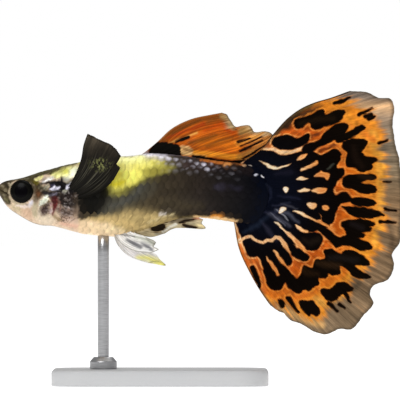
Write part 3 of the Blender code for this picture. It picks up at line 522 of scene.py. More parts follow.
# Light marks left clear of ink: closed outlines, then lines
TAIL_LIGHTS = (
    (295, 160.5, 297.5, 157, 300.5, 154, 304.5, 152.5, 309, 153, 306.5, 157, 304, 160, 299, 161),
    (295.5, 179, 299, 176, 302.5, 175.5, 305.5, 177, 310.5, 178.5, 306, 180.5, 301.5, 181.5, 297.5, 181),
    (311.5, 177, 316.5, 173.5, 320.5, 169.5, 322.5, 171, 324, 172.5, 330.5, 172, 330, 176.5, 329, 180, 326,
     180.5, 324, 178, 317.5, 177.5),
    (282, 189.5, 283.5, 187, 286, 186, 288.5, 187, 290, 189.5, 288, 192, 286, 193.5, 283.5, 192),
    (295.5, 191, 299, 189, 303.5, 187.5, 309, 188, 312, 190, 307.5, 193, 300.5, 193),
    (310.5, 190, 315, 188, 323, 187, 329, 187, 328, 191, 325, 194.5, 317.5, 195, 313, 192.5),
    (305.5, 202.5, 311, 201.5, 317.5, 203.5, 317, 207, 312, 210, 307.5, 207),
    (321, 205, 326, 203.5, 330, 205.5, 330, 209.5, 325.5, 212, 322, 209.5),
    (279, 209, 281, 206.5, 284, 206, 286.5, 207.5, 286.5, 210.5, 284, 213, 281, 214, 278, 214, 278.5,
     211.5),
)
TAIL_LIGHT_LINES = (
    ((0.8, 1.6, 2, 2.2, 1.6, 1.7, 1.4, 0.5), 259, 161, 264, 163, 269, 166, 274, 167.5, 277.5, 168, 283.5,
     166.5, 288.5, 164.5, 291.5, 163),
    ((2, 2.4, 2.2), 301.5, 170, 309, 166.5, 317, 162.5),
    ((1.1, 1.7, 2.1, 2.1, 1.7, 1.7, 2.7, 2, 1.8, 1.8), 292.5, 211, 296, 211.5, 301.5, 213.5, 307.5, 217,
     312.5, 219.5, 317, 221.5, 320, 221.5, 324.5, 224.5, 330, 227, 334, 230),
    ((0.5, 0.9, 0.9), 319, 213, 320.5, 216.5, 321.5, 220),
    ((1.2, 2.3, 2.3, 2), 295.5, 225, 298.5, 227.5, 303.5, 230.5, 307.5, 232),
    ((1.1, 1.7, 1.5, 1.6, 2.3, 2.5, 3.1, 2.6, 2), 274.5, 222, 277.5, 223, 281, 227, 285.5, 231.5, 288.5,
     233.5, 292.5, 237.5, 297.5, 243, 301.5, 247, 305.5, 250),
    ((2.2, 2, 2, 2, 2.2, 2.2, 2.4, 2.2, 2.6, 2.9, 2.7, 2.1, 1.2), 240, 241, 246, 237, 251, 236,
     254.5, 239, 259, 241.5, 263.5, 243, 267, 240.5, 271.5, 241, 275.5, 237, 280, 239, 283.5, 243, 287,
     249, 290, 252.5),
    ((1.5, 2.2, 2.6, 1.9, 1.3), 274, 250.5, 276.5, 254, 280, 259, 283.5, 263, 287.5, 267.5),
    ((0.9, 1.8, 2.4, 2.4, 1.9), 266.5, 256, 268.5, 260, 272, 264.5, 275.5, 270, 278, 274.5),
)

# Colours of the tail by distance from the middle of its root: ground, lights, beside the ink, and ink
TAIL_ROOT = (262, 198)
TAIL_GROUND_STOPS = (
    (40, (206, 136, 80)), (56, (186, 92, 30)), (76, (176, 78, 14)), (92, (184, 88, 14)), (104, (202, 110,
     26)),
    (118, (206, 126, 34)),
)
TAIL_LIGHT_STOPS = (
    (24, (226, 228, 206)), (46, (244, 218, 178)), (55, (234, 184, 128)), (63, (200, 116, 44)), (96, (178,
     84, 18)),
)
TAIL_EDGE_STOPS = (
    (30, (232, 206, 166)), (50, (236, 184, 124)), (66, (226, 152, 80)), (84, (214, 128, 52)), (100, (216,
     128, 42)),
    (116, (212, 132, 42)),
)
TAIL_TINT_STOPS = ((10, (6, 9, 21)), (34, (6, 8, 18)), (52, (6, 4, 6)), (80, (7, 3, 1)), (110, (10, 5, 2)))
TAIL_SAND_STOPS = (
    (88, (96, 86, 78)), (98, (122, 106, 92)), (106, (208, 166, 122)), (118, (150, 127, 104)), (135, (126,
     112, 94)),
    (170, (128, 110, 86)), (205, (130, 102, 72)), (250, (124, 100, 74)), (280, (120, 96, 70)), (335, (122,
     102, 78)),
)
TAIL_GROUND_MARKS = (
    # Peach lines between the ink shapes near the root
    ((238, 196, 150), 1.2, 1, (1.2, 2, 1.6), 262, 151, 267, 149, 273, 149.4, 279, 151.4, 286, 153, 292,
     152.4, 298, 150, 303, 147.4),
    # Dark front edge, then the bright ground inside the margin
    ((58, 44, 24), 2.5, 0.95, (2.5, 4.5, 4, 2), 256, 152, 267, 141, 278, 130, 289, 119, 300, 110, 312, 104),
    ((120, 92, 44), 2.5, 0.8, (1.5, 2.5, 1.5), 292, 114, 304, 107, 318, 102),
    ((40, 28, 14), 3, 0.9, (2, 4, 4, 2), 286, 127, 296, 118.5, 308, 113, 322, 107),
    ((44, 28, 14), 3, 0.8, (2, 3, 2), 286, 128, 298, 131, 310, 130),
    ((206, 92, 22), 2.5, 0.9, (2.4, 2.6), 284, 133, 294, 131, 304, 131.5, 316, 135, 328, 131),
    ((210, 122, 30), 4, 0.9, (2.6, 6), 324, 105, 338, 107, 352, 110, 362, 121, 372, 136),
    ((214, 146, 52), 3, 0.9, (5, 5, 4), 372, 134, 378, 150, 381, 170, 381, 200, 379, 228, 374, 244),
    ((206, 112, 30), 2.5, 0.9, (2.6, 3.4), 340, 120, 352, 128, 364, 134, 374, 140),
    ((168, 88, 30), 2, 0.8, (1.2, 1.8), 322, 144, 334, 145, 342, 149, 345, 157, 343, 166),
    ((92, 40, 10), 1.4, 0.95, (1.6, 2, 1.2), 318, 152, 326, 149, 333, 146, 337, 144),
    ((112, 50, 12), 1.4, 0.9, (1.8, 1.6), 311, 136, 318, 134),
    ((196, 100, 22), 3, 0.85, (3, 4.5), 262, 284, 280, 296, 300, 296, 322, 286, 345, 270, 364, 256),
    ((222, 140, 44), 2, 0.85, (2, 2.4), 260, 294, 274, 302, 292, 308),
    ((206, 146, 62), 3, 0.8, (4, 4), 316, 300, 330, 305, 342, 298),
    ((186, 96, 34), 2, 0.9, (2, 2.4), 248, 256, 257, 272, 264, 290),
    ((214, 140, 40), 3, 0.8, (3, 3.5), 356, 246, 366, 254, 360, 264, 350, 276),
)
TAIL_SAND_MARKS = (
    ((206, 160, 100), 3, 0.85, (2.5, 4, 3), 280, 306, 293, 314, 308, 320, 322, 325),
    ((70, 60, 46), 2.5, 0.6, (2, 2.6), 344, 296, 352, 291, 358, 284),
    ((88, 70, 52), 3, 0.75, (2.4, 3.4), 389, 226, 393, 240, 389, 254),
)
TAIL_TINT_MARKS = (
    # Steel-blue streaks in the root, brown warmth inside the outer ink
    ((34, 36, 52), 1.8, 0.8, (0.8, 1.8, 0.6), 264, 212, 274, 213, 286, 208),
    ((80, 80, 94), 3, 0.7, (0.4, 1.5, 0.6), 268, 214, 278, 218, 290, 226),
    ((80, 82, 96), 2.6, 0.7, (0.4, 1.3, 0.5), 276, 210, 288, 214, 298, 222),
    ((160, 160, 168), 0.8, 0.65, (0.2, 0.6, 0.2), 277, 210, 283, 215, 288, 220.6),
    ((124, 126, 140), 0.9, 0.5, (0.2, 0.5, 0.2), 270, 212.6, 278, 219, 285, 225.6),
    ((72, 72, 82), 1.5, 0.6, (0.4, 1, 0.4), 281, 203.6, 289, 206, 297, 208.6),
    ((40, 40, 54), 2.5, 0.7, (0.6, 2, 1), 262, 222, 268, 230, 276, 240),
    ((30, 38, 54), 2.5, 0.6, (1, 2.5, 1), 244, 232, 256, 226, 268, 216),
    ((38, 40, 56), 1.6, 0.75, (0.5, 1.1, 0.4), 272, 206, 280, 205, 290, 202),
    ((26, 28, 44), 1.8, 0.7, (0.6, 1.2, 0.5), 278, 196, 290, 197, 300, 199),
    ((28, 32, 48), 1.8, 0.7, (0.7, 1.2, 0.7), 262, 182, 270, 188, 271, 197, 266, 203),
    ((22, 22, 34), 2.5, 0.7, (1.6, 2.6), 276, 174, 290, 172),
    # Grey-green streak on the ink: a painted glint
    ((76, 76, 66), 0.9, 0.7, (0.4, 0.7, 0.4), 327, 169, 330, 167, 334, 164),
    ((28, 18, 8), 3, 0.7, (2, 2.6), 300, 124, 316, 120, 332, 118),
    ((24, 14, 8), 3, 0.7, (2.4, 3), 354, 147, 356, 160, 362, 166),
    ((28, 20, 14), 3, 0.7, (2.4, 3), 304, 240, 311, 243, 318, 240),
    ((24, 20, 18), 3, 0.7, (2.4, 3), 330, 258, 344, 258, 356, 260),
    ((26, 20, 20), 3, 0.7, (2, 2.4), 352, 224, 362, 228),
    ((42, 27, 14), 3, 0.8, (2, 3, 2), 318, 263, 328, 265, 340, 266),
    ((34, 20, 8), 3, 0.7, (2, 3, 2), 296, 262, 306, 272, 318, 274),
    ((30, 20, 12), 3, 0.7, (2, 3, 2), 360, 176, 370, 178, 378, 182),
)
TAIL_WARM = (
    232, 170, 250, 138, 272, 112, 290, 99, 310, 96, 330, 97, 345, 99, 356, 103, 362, 108, 370, 113, 376,
    121, 382, 130, 384, 142, 384, 165, 385, 182, 385, 196, 384, 208, 383, 218, 381, 232, 379, 244, 375,
    255, 369, 265, 360, 275, 354, 284, 346, 294, 337, 303, 327, 309, 320, 318, 310, 321, 298, 315, 287,
    307, 274, 303, 262, 298, 244, 268, 232, 244, 226, 220,
)

DORSAL_MARKS = (
    # Lilac white at the front tip: the back's painted highlight carried onto the fin
    ((196, 192, 200), 1, 0.9, (), 143, 156, 144, 150, 149.6, 149.8, 148.6, 156),
    ((148, 78, 20), 4, 0.9, (3, 4), 150, 150, 172, 132, 190, 121, 222, 113),
    ((224, 118, 22), 5, 0.85, (4, 6), 200, 142, 218, 142, 238, 146),
    ((186, 62, 14), 1.8, 0.8, (0.9, 1.8), 167, 137.5, 181, 132.5, 192, 129, 203, 124),
    ((186, 68, 6), 3, 0.8, (2, 3), 205, 130, 222, 124, 232, 132),
    ((110, 64, 18), 2, 0.7, (1, 1.6, 1), 172, 133, 186, 126, 200, 120),
    ((108, 68, 20), 2, 0.7, (1.4, 1.8, 1), 190, 143, 202, 139.5, 216, 135),
    ((100, 66, 22), 1.6, 0.65, (1, 1.4, 0.8), 206, 146, 218, 141, 232, 138),
    ((98, 66, 24), 2, 0.6, (1.2, 1.6), 208, 121, 218, 118, 226, 119),
    ((240, 152, 38), 1.8, 0.8, (2.2, 3), 182, 150, 196, 153, 214, 154.5, 240, 158),
    ((250, 190, 96), 1.2, 0.7, (1, 1.2), 181, 152, 192, 154.5, 206, 157),
    ((206, 150, 72), 1.2, 0.85, (0.8, 1.2), 169, 143, 178, 139.6, 188, 136.4, 197, 133),
    ((232, 186, 122), 1.6, 0.9, (), 179, 146, 186, 145, 193, 149, 192, 156, 184, 156, 179, 153),
    ((134, 92, 50), 1.2, 0.8, (1.4, 0.9), 184, 149, 192, 150.4),
    ((228, 148, 54), 3, 0.85, (2.5, 4, 2), 238, 143, 250, 139, 262, 134),
    ((150, 124, 70), 2.4, 0.8, (), 237, 128, 246, 126, 253, 127, 256, 133, 246, 134, 238, 137),
    ((150, 112, 50), 2.4, 0.6, (), 237, 154, 246, 151, 257, 148, 254, 158, 244, 163, 236, 161),
    ((188, 152, 92), 2.4, 0.8, (2.4, 3), 222, 116, 230, 118, 233, 127),
    ((86, 70, 40), 1.2, 0.7, (0.8, 1.2), 224, 122, 230, 125, 236, 130),
)
DORSAL_INK = (
    (148, 154, 150.4, 149.6, 156, 143.2, 160.6, 142.2, 168.8, 143.2, 176, 145, 179.4, 145.6, 180.4, 151,
     179.4, 156.5, 166, 155, 152, 156),
)
DORSAL_INK_LINES = (
    ((0.7, 1.6, 0.8), 176, 142, 182, 139.4, 189, 137.6),
    ((0.7, 1.3, 1.2), 193, 156.6, 203, 158, 216, 161),
    ((1.4, 1.4), 216, 161, 232, 163, 244, 162),
    ((0.5, 0.1), 238, 142, 250, 138.5),
    ((0.1, 0.3, 0.1), 241, 146, 252, 142, 263, 137),
    ((0.4, 0.5, 0.1), 240, 151, 251, 146.5, 262, 140.5),
    ((0.2, 0.5, 0.1), 243, 159, 255, 152.5, 267, 144),
    ((0.6, 0.9, 0.6), 247, 162, 259, 154.5, 270, 146),
)
ANAL_INK = ((150, 226, 156, 222.6, 161, 224, 166, 225, 163, 230, 157, 232, 152, 230),)
ANAL_INK_LINES = (
    ((0.8, 1.6, 0.8), 163, 221.6, 171, 219, 178.4, 217),
    ((0.8, 1.5, 0.6), 184, 225, 190, 227, 196, 227),
    ((0.4, 0.8, 0.3), 180, 222.6, 187, 220.6, 194, 219.6),
    ((0.3, 0.7, 0.4), 140, 228.6, 147, 225.4, 153, 223.6),
)
ANAL_MARKS = (
    ((122, 104, 76), 1.4, 0.75, (0.8, 1.3, 1.2), 132, 226.4, 146, 225, 158, 220, 170, 217),
    ((128, 114, 92), 2, 0.85, (1.6, 3, 1.6), 172, 222, 182, 219.6, 196, 219),
    ((240, 220, 176), 1.4, 0.9, (1.4, 2.4, 0.8), 138, 231.6, 150, 227, 160, 222, 168, 221),
    ((240, 228, 196), 0.8, 0.8, (0.6, 1, 0.5), 160, 219, 172, 215.6, 186, 214.2),
    ((232, 228, 214), 1, 0.9, (1, 1.4), 163, 231.6, 168, 228.6, 176, 224),
    ((146, 142, 130), 0.9, 0.8, (0.6, 0.9), 156, 234, 164, 233.6, 171, 231),
    ((186, 104, 76), 1.4, 0.7, (0.8, 1.2), 194, 218.4, 203, 218),
    ((236, 216, 160), 1.2, 0.85, (0.8, 1.4), 196, 225.6, 205, 226),
)
# Colours of the chest fin by row, and its patches of pale hairlines and of specks: a centre and its radii
PECTORAL_STOPS = (
    (137, (70, 62, 50)), (150, (38, 33, 25)), (158, (22, 18, 13)), (180, (19, 17, 12)), (198, (14, 12, 8)),
)
PECTORAL_HAIRS = ((94, 174), (14, 13))
PECTORAL_SPECKS = ((101, 164.5), (7.5, 5))
PELVIC_MARKS = (
    ((186, 188, 170), 2.4, 0.8, (1.6, 2.6), 136, 237, 146, 239.6, 154, 243),
    ((106, 106, 110), 1.8, 0.9, (1.2, 2.4, 2), 127, 240, 134, 243.6, 141, 247),
    ((110, 110, 114), 1.6, 0.9, (1.2, 2.2, 1.2), 142, 243, 148, 246.6, 153, 250),
    ((240, 238, 234), 1, 0.8, (1, 1.6), 143, 249, 148, 250.4),
    ((84, 80, 74), 1, 0.75, (0.6, 1), 119, 234, 126, 235.4, 134, 236.6),
    ((96, 94, 84), 0.8, 0.6, (0.6, 0.8), 148, 240, 156, 244),
)
PELVIC_FAR_MARKS = (
    ((246, 240, 238), 2.5, 0.8, (2, 4), 120, 240, 128, 250, 136, 256),
    ((252, 243, 130), 3, 0.95, (1.5, 4), 138, 257, 148, 258, 157, 262, 168, 267),
    ((150, 144, 104), 1, 0.7, (0.5, 1, 0.4), 147, 263.6, 152, 262, 158, 261),
)

# Stand
BASE_LENGTH = 27.0
BASE_WIDTH = 18.0
BASE_THICKNESS = 2.0
BASE_CORNER = 4.0
BASE_BEVEL = 0.4
BASE_FOOT_BEVEL = 0.12
BASE_CORNER_STEPS = 18
BASE_BEHIND_SNOUT = 20.4
ROD_RADIUS = 0.7
ROD_FOOT = 0.8
ROD_TOP = 19.6
ROD_BEHIND_SNOUT = 13.3
COLLAR_RADIUS = 1.7
COLLAR_TOP_RADIUS = 1.25
COLLAR_SHOULDER = 0.8
COLLAR_HEIGHT = 1.3
COLLAR_FOOT = 2.2
COLLAR_TOP = COLLAR_FOOT + COLLAR_HEIGHT
COLLAR_PROFILE = (
    (ROD_RADIUS + 0.01, COLLAR_FOOT - 0.2), (COLLAR_RADIUS - 0.12, COLLAR_FOOT - 0.2),
    (COLLAR_RADIUS, COLLAR_FOOT - 0.08), (COLLAR_RADIUS, COLLAR_FOOT + COLLAR_SHOULDER - 0.1),
    (COLLAR_RADIUS - 0.06, COLLAR_FOOT + COLLAR_SHOULDER), (COLLAR_TOP_RADIUS + 0.05, COLLAR_TOP - 0.1),
    (COLLAR_TOP_RADIUS - 0.06, COLLAR_TOP), (ROD_RADIUS + 0.01, COLLAR_TOP),
)

# Stage, in metres: lamps with a place, a size and a share of the key light's power, and the floor's rings
LAMPS = (("Key", (-0.22, -0.42, 0.46), 0.3, 1), ("Top", (0.1, 0.12, 0.5), 0.4, 0.6))
SENSOR_WIDTH = 36.0
FLOOR_SPAN = (0.004, 2.5)
FLOOR_RINGS = 40
FLOOR_SIDES = 96
FLOOR_DROP = 0.00002

# Attributes of a mesh that hold something other than a colour
ATTRIBUTE_KINDS = {"Gleam": ("FLOAT", "value"), "Ink": ("FLOAT", "value"), "Lie": ("FLOAT_VECTOR", "vector")}


def rise(low, high, value):
    """Rises from 0 to 1 between two values as 3t^2 - 2t^3, or falls where low is above high."""
    t = np.clip((value - low) / (high - low), 0, 1)
    return t * t * (3 - 2 * t)


def through(stations, at):
    """A smooth curve through rows of (position, values...): cubic pieces with slopes from the rows beside."""
    rows = np.array(stations, float)
    where, values = rows[:, 0], rows[:, 1:]
    slopes = np.gradient(values, where, axis=0)
    at = np.clip(np.asarray(at, float), where[0], where[-1])
    piece = np.clip(np.searchsorted(where, at, side="right") - 1, 0, len(where) - 2)
    span = (where[piece + 1] - where[piece])[:, None]
    t = (at - where[piece])[:, None] / span
    return (
        values[piece] * (1 + 2 * t) * (1 - t) ** 2
        + slopes[piece] * span * t * (1 - t) ** 2
        + values[piece + 1] * t**2 * (3 - 2 * t)
        + slopes[piece + 1] * span * t**2 * (t - 1)
    )


def curve_through(points, count):
    """A smooth open curve through a few points, read at places evenly spaced along it."""
    points = np.array(points, float)
    steps = np.linalg.norm(np.diff(points, axis=0), axis=1)
    along = np.concatenate([[0], np.cumsum(steps)]) / steps.sum()
    return through(np.column_stack([along, points]), np.linspace(0, 1, count))


def cloud(across, along, seed):
    """Smooth random values from -1 to 1: a table of random numbers, one a unit, blended between its rows."""
    table = np.random.default_rng(seed).uniform(-1, 1, (61, 61))
    column, row = np.floor(across).astype(int), np.floor(along).astype(int)
    u, v = rise(0, 1, across - column), rise(0, 1, along - row)
    left = table[column % 61, row % 61] * (1 - v) + table[column % 61, (row + 1) % 61] * v
    right = table[(column + 1) % 61, row % 61] * (1 - v) + table[(column + 1) % 61, (row + 1) % 61] * v
    return left * (1 - u) + right * u


def tone(colour):
    """A colour given from 0 to 255 as linear light, by the usual screen curve."""
    share = np.array(colour, float) / 255
    return np.where(share <= 0.04045, share / 12.92, ((share + 0.055) / 1.055) ** 2.4)


def drift(across, along, seed):
    """Two columns of smooth random values, one from a seed and one from the next."""
    return np.column_stack([cloud(across, along, seed), cloud(across, along, seed + 1)])


def spread(spots, centre, radii, power=2):
    """1 at a centre, falling to 0 outside: exp of minus the powers of the offsets over the radii."""
    first, second = ((spots - np.array(centre)) / radii).T
    return np.exp(-(first**power) - second**power)


def all_over(colour, count):
    """One colour for every spot."""
    return np.tile(tone(colour), (count, 1))


def blend_in(values, colour, cover):
    """Colours led towards a colour by a cover from 0 to 1."""
    return values + (colour - values) * cover[..., None]


def in_frame(points, above_floor=False):
    """Millimetres behind the snout, to the right and above the axis, or the floor, as metres in the frame."""
    moved = np.array(points, float).reshape(-1, 3) * MM
    moved[:, 0] += SNOUT_X
    moved[:, 2] += 0 if above_floor else AXIS_Z
    return moved


def on_photo(behind, above):
    """Columns and rows of the photograph for places behind the snout and above the axis."""
    columns = PHOTO_SNOUT_COLUMN + PHOTO_PER_MM * np.ravel(behind)
    rows = PHOTO_AXIS_ROW - PHOTO_PER_MM * np.ravel(above)
    return np.column_stack([columns, rows])


def cut_corners(outline):
    """Each corner of a closed outline cut off at a quarter of its sides."""
    after = np.roll(outline, -1, axis=0)
    return np.stack([0.75 * outline + 0.25 * after, 0.25 * outline + 0.75 * after], axis=1).reshape(-1, 2)


def depth_in_outline(spots, points):
    """How far inside a rounded closed outline each spot lies: its distance to a side, less outside."""
    outline = cut_corners(cut_corners(np.array(points, float)))
    nearest = np.full(len(spots), np.inf)
    inside = np.zeros(len(spots), bool)
    for start, end in zip(outline, np.roll(outline, -1, axis=0)):
        side, offset = end - start, spots - start
        t = np.clip(offset @ side / (side @ side + 1e-9), 0, 1)
        nearest = np.minimum(nearest, np.sum((offset - t[:, None] * side) ** 2, axis=1))
        crosses = (start[1] > spots[:, 1]) != (end[1] > spots[:, 1])
        slope = side[0] / side[1] if side[1] else 0.0
        inside ^= crosses & (spots[:, 0] < start[0] + slope * (spots[:, 1] - start[1]))
    return np.where(inside, 1, -1) * np.sqrt(nearest)


def depth_in_line(spots, points, half_widths):
    """How far inside a line each spot lies: the half width there less the distance to the line."""
    points = np.array(points, float)
    widths = np.interp(np.linspace(0, 1, len(points)), np.linspace(0, 1, len(half_widths)), half_widths)
    deepest = np.full(len(spots), -np.inf)
    for start, end, first, last in zip(points[:-1], points[1:], widths[:-1], widths[1:]):
        side, offset = end - start, spots - start
        t = np.clip(offset @ side / (side @ side + 1e-9), 0, 1)
        away = np.linalg.norm(offset - t[:, None] * side, axis=1)
        deepest = np.maximum(deepest, first + (last - first) * t - away)
    return deepest


def depth_in_mark(spots, points, half_widths=(), margin=10.0):
    """Depth inside an outline or a line of columns and rows, worked out only for the spots near it."""
    corners = np.reshape(points, (-1, 2)).astype(float)
    near = np.all((spots > corners.min(axis=0) - margin) & (spots < corners.max(axis=0) + margin), axis=1)
    depth = np.full(len(spots), -margin)
    if half_widths:
        depth[near] = depth_in_line(spots[near], corners, half_widths)
    else:
        depth[near] = depth_in_outline(spots[near], corners)
    return np.maximum(depth, -margin)


def paint(values, spots, marks, blur=1.0):
    """Each mark's colour laid over the last, fading across its soft edge."""
    for colour, soft, strength, half_widths, *points in marks:
        depth = depth_in_mark(spots, points, half_widths)
        cover = strength * rise(-soft * blur, soft * blur, depth)
        values = blend_in(values, tone(colour), cover)
    return values


def body_rings(behind, sides, inset=0.0):
    """Rings of the body: half superellipses over each other, rounded off at the snout, bowed and thinned at
    the tail's root."""
    back, level, belly, half = through(BODY_SECTIONS, behind).T[..., None]
    at = behind[:, None]
    tip = np.sqrt(1 - (1 - np.clip(at / SNOUT_ROUND, 0, 1)) ** 2)
    thin = np.sqrt(1 - np.clip((at - STEM_THIN_START) / (FLESH_LENGTH + 0.01 - STEM_THIN_START), 0, 1) ** 2)
    angle = np.linspace(0, 2 * np.pi, sides, endpoint=False)
    cos, sin = np.cos(angle), np.sin(angle)
    power = 2 / np.where(sin >= 0, BACK_ROUNDNESS, BELLY_ROUNDNESS)
    across = ((half - inset) * tip * thin + STEM_EDGE * (1 - thin)) * np.sign(cos) * np.abs(cos) ** power
    height = (np.where(sin >= 0, back - level, level - belly) - inset) * tip
    above = level + height * np.sign(sin) * np.abs(sin) ** power
    middle, reach = (back + belly) / 2, (back - belly) / 2
    bow = STEM_BOW * rise(STEM_BOW_START, FLESH_LENGTH, at)
    along = at + bow * (1 - ((above - middle) / reach) ** 2)
    return np.stack([along, across, above], axis=-1)


def grid_normals(grid, wrap):
    """Unit normals of a grid: the cross product of its two slopes. A wrapped grid closes on itself."""
    ring = np.concatenate([grid[:, -1:], grid, grid[:, :1]], axis=1) if wrap else grid
    first, second = np.gradient(ring, axis=0), np.gradient(ring, axis=1)
    normal = np.cross(first, second)
    normal /= np.linalg.norm(normal, axis=-1, keepdims=True) + 1e-12
    return normal[:, 1:-1] if wrap else normal


def ridge(spots, path, half_width):
    """A smooth swell from 0 to 1 along a line of (behind, above) points."""
    away = -depth_in_line(spots, path, (0.0, 0.0))
    return np.exp(-((away / half_width) ** 2))


def head_relief(behind, above):
    """How far the skin stands out: swells, grooves, nostril rings and gill cover, summed."""
    spots = np.column_stack([behind.ravel(), above.ravel()])
    relief = sum(height * ridge(spots, path, half_width) for path, half_width, height in HEAD_RIDGES)
    for radius, height in NOSTRIL_RINGS:
        relief += height * spread(spots, NOSTRIL, radius)
    offset = (spots - GILL_CENTRE) / GILL_RADII
    out = np.linalg.norm(offset, axis=1)
    turn = rise(-0.35, 0.35, offset[:, 0])
    plate = rise(1.12, 0.8, out) * (1 - turn) + rise(1.04, 0.99, out) * turn
    slit = np.exp(-(((out - 1.07) / 0.05) ** 2)) * rise(-0.1, 0.5, offset[:, 0])
    relief += GILL_RISE * plate - GILL_SLIT * slit
    return (relief * rise(0.15, 0.75, spots[:, 0])).reshape(behind.shape)


def seat_for_eyes(points, half_width):
    """The cheek led to each eye's rim: the skin takes the level of the rim, and dips behind the eye."""
    along, up = points[..., 0] - EYE_CENTRE[0], points[..., 2] - EYE_CENTRE[1]
    yaw, tilt = np.radians(EYE_YAW_DEG), np.radians(EYE_TILT_DEG)
    radius = np.hypot(along / np.cos(yaw), up / np.cos(tilt))
    rim = EYE_RIM_OFFSET + along * np.tan(yaw) - up * np.tan(tilt)
    lip = EYE_LIP * np.exp(-(((radius - EYE_RADIUS - 0.2) / 0.1) ** 2))
    dip = EYE_SOCKET * rise(EYE_RADIUS + 0.08, EYE_RADIUS - 0.2, radius)
    across = points[..., 1]
    out = np.abs(across) / half_width
    pull = rise(EYE_RADIUS + 0.65, EYE_RADIUS + 0.1, radius) * rise(0.1, 0.45, out)
    points[..., 1] += np.sign(across) * (rim + lip - dip - np.abs(across)) * pull
    return points


def blend_stops(at, stops):
    """Colours read between rows of (position, colour)."""
    positions, colours = zip(*stops)
    return np.column_stack([np.interp(at, positions, part) for part in tone(colours).T])


def flank_colours(behind, above, spots):
    """Dark flank, gold and cream under one another with wavering edges, freckles and the body's marks."""
    column, row = spots.T
    warped = spots + 1.4 * drift(behind * 2.1, above * 2.1, 5) * rise(70, 90, spots[:, :1])
    across, down = warped.T
    under_flank = (down - np.interp(across, *FLANK_EDGE)) / np.interp(across, *FLANK_SOFTNESS)
    values = blend_in(blend_stops(behind, FLANK_STOPS), tone(GOLD), rise(-1, 1, under_flank))
    under_gold = rise(-3.5, 3.5, down - np.interp(across, *GOLD_EDGE))
    values = blend_in(values, tone(CREAM), under_gold * np.interp(across, *CREAM_COVER))
    freckle = cloud(behind * 3.6, above * 3.6, 51) + 0.6 * cloud(behind * 8, above * 8, 52)
    speckled = rise(88, 108, column) * rise(208, 216, row)
    values *= (1 + 0.34 * np.clip(freckle, -1.2, 0.8) * speckled)[:, None]
    return paint(values, warped, BODY_MARKS)


def head_colours(behind, above, spots):
    """The head's marks on peach skin, shaded, netted and streaked by noise, and darkened at the rim of the
    eye.
    """
    column, row = spots.T
    drawn = spots + 0.7 * drift(behind * 4, above * 4, 9)
    face = paint(all_over(PEACH_SKIN, len(spots)), drawn, HEAD_MARKS, 1.25)
    face *= (1 - 0.28 * spread(spots, *FACE_SHADE, 4))[:, None]
    net = np.abs(cloud(column / 3.0, row / 1.8, 15) + 0.5 * cloud(column / 1.8, row / 1.1, 16))
    for centre, radii in HEAD_NETS:
        patch = spread(spots, centre, radii, 4)
        face = blend_in(face, tone(NET_DARK), 0.8 * patch * rise(0.3, 0.05, net))
        face = blend_in(face, tone(NET_PALE), 0.4 * patch * rise(0.5, 1.0, net))
    lean = (behind + 0.7 * above) * 1.2
    slick = cloud(lean * 1.6, (above - 0.7 * behind) * 5.5, 14) + 0.6 * cloud(behind * 9, above * 9, 11)
    busy = rise(18, 5, np.abs(row + 0.25 * (60 - column) - 196)) * rise(30, 40, column)
    face *= np.exp((0.09 + 0.5 * busy) * np.clip(slick, -1.2, 0.9))[:, None]
    eye = np.linalg.norm(spots - np.array(EYE_SPOT), axis=1) / PHOTO_PER_MM
    return blend_in(face, tone(EYE_RIM_DARK), rise(EYE_RADIUS + 0.07, EYE_RADIUS + 0.01, eye))


def skin_colours(behind, above, crown):
    """Colour of the skin and its scales: flank and head, rippled and grained, then the crown, pale as a
    painted highlight along the back, and the chin, darkened as painted shade on its underside.

    The crown is 1 along the back and belly and 0 on the flanks. Returns linear colours and a gleam."""
    spots = on_photo(behind, above)
    behind, above, crown = behind.ravel(), above.ravel(), crown.ravel()
    column, row = spots.T
    values = flank_colours(behind, above, spots)
    head = rise(*HEAD_BACK_COLUMNS, column + 0.5 * cloud(behind * 3, above * 3, 8))
    values = blend_in(values, head_colours(behind, above, spots), head)
    ripple = np.sin(2 * np.pi * (behind / 0.44 + 0.35 * cloud(behind * 0.6, above * 1.5, 21)))
    flank = rise(80, 100, column) * rise(222, 205, row)
    values *= (1 + 0.16 * ripple * flank * (0.6 + 0.4 * cloud(behind * 1.2, above * 0.8, 22)))[:, None]
    grain = cloud(behind * 5, above * 5, 31) + 0.7 * cloud(behind * 11, above * 3.5, 32)
    values *= (1 + 0.1 * grain)[:, None]
    top, chin = crown * (above > 0), crown * (above < 0) * rise(110, 30, column)
    # Crown colours, pale behind the saddle as a painted highlight along the back
    values = blend_in(values, blend_stops(behind, CROWN_STOPS), 0.75 * rise(0.25, 0.9, top))
    # Painted shade along the underside of the throat and chin
    values = blend_in(values, tone(THROAT_UNDERSIDE_SHADE), 0.75 * rise(0.35, 1.0, chin))
    gleam = rise(0.25, 0.8, values.mean(axis=1)) * 0.7 + 0.12 * flank * rise(250, 215, column)
    return np.clip(values, 0, 1), gleam


def new_piece(name, spots, faces, uv, finish, points=None):
    """A mesh piece with its bake map, riding on the fish. The map is one (u, v) for each face corner."""
    mesh = bpy.data.meshes.new(name)
    mesh.from_pydata(spots.tolist(), [], faces)
    mesh.uv_layers.new(name="OFBake").uv.foreach_set("vector", np.ravel(uv).astype(np.float32))
    for label, values in (points or {}).items():
        kind, field = ATTRIBUTE_KINDS.get(label, ("FLOAT_COLOR", "color"))
        if field == "color":
            values = np.column_stack([values, np.ones(len(values))])
        layer = mesh.attributes.new(label, kind, "POINT")
        layer.data.foreach_set(field, np.ravel(values).astype(np.float32))
    mesh.materials.append(finish)
    mesh.shade_smooth()
    piece = bpy.data.objects.new(name, mesh)
    bpy.context.scene.collection.objects.link(piece)
    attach(piece, "root")
    return piece


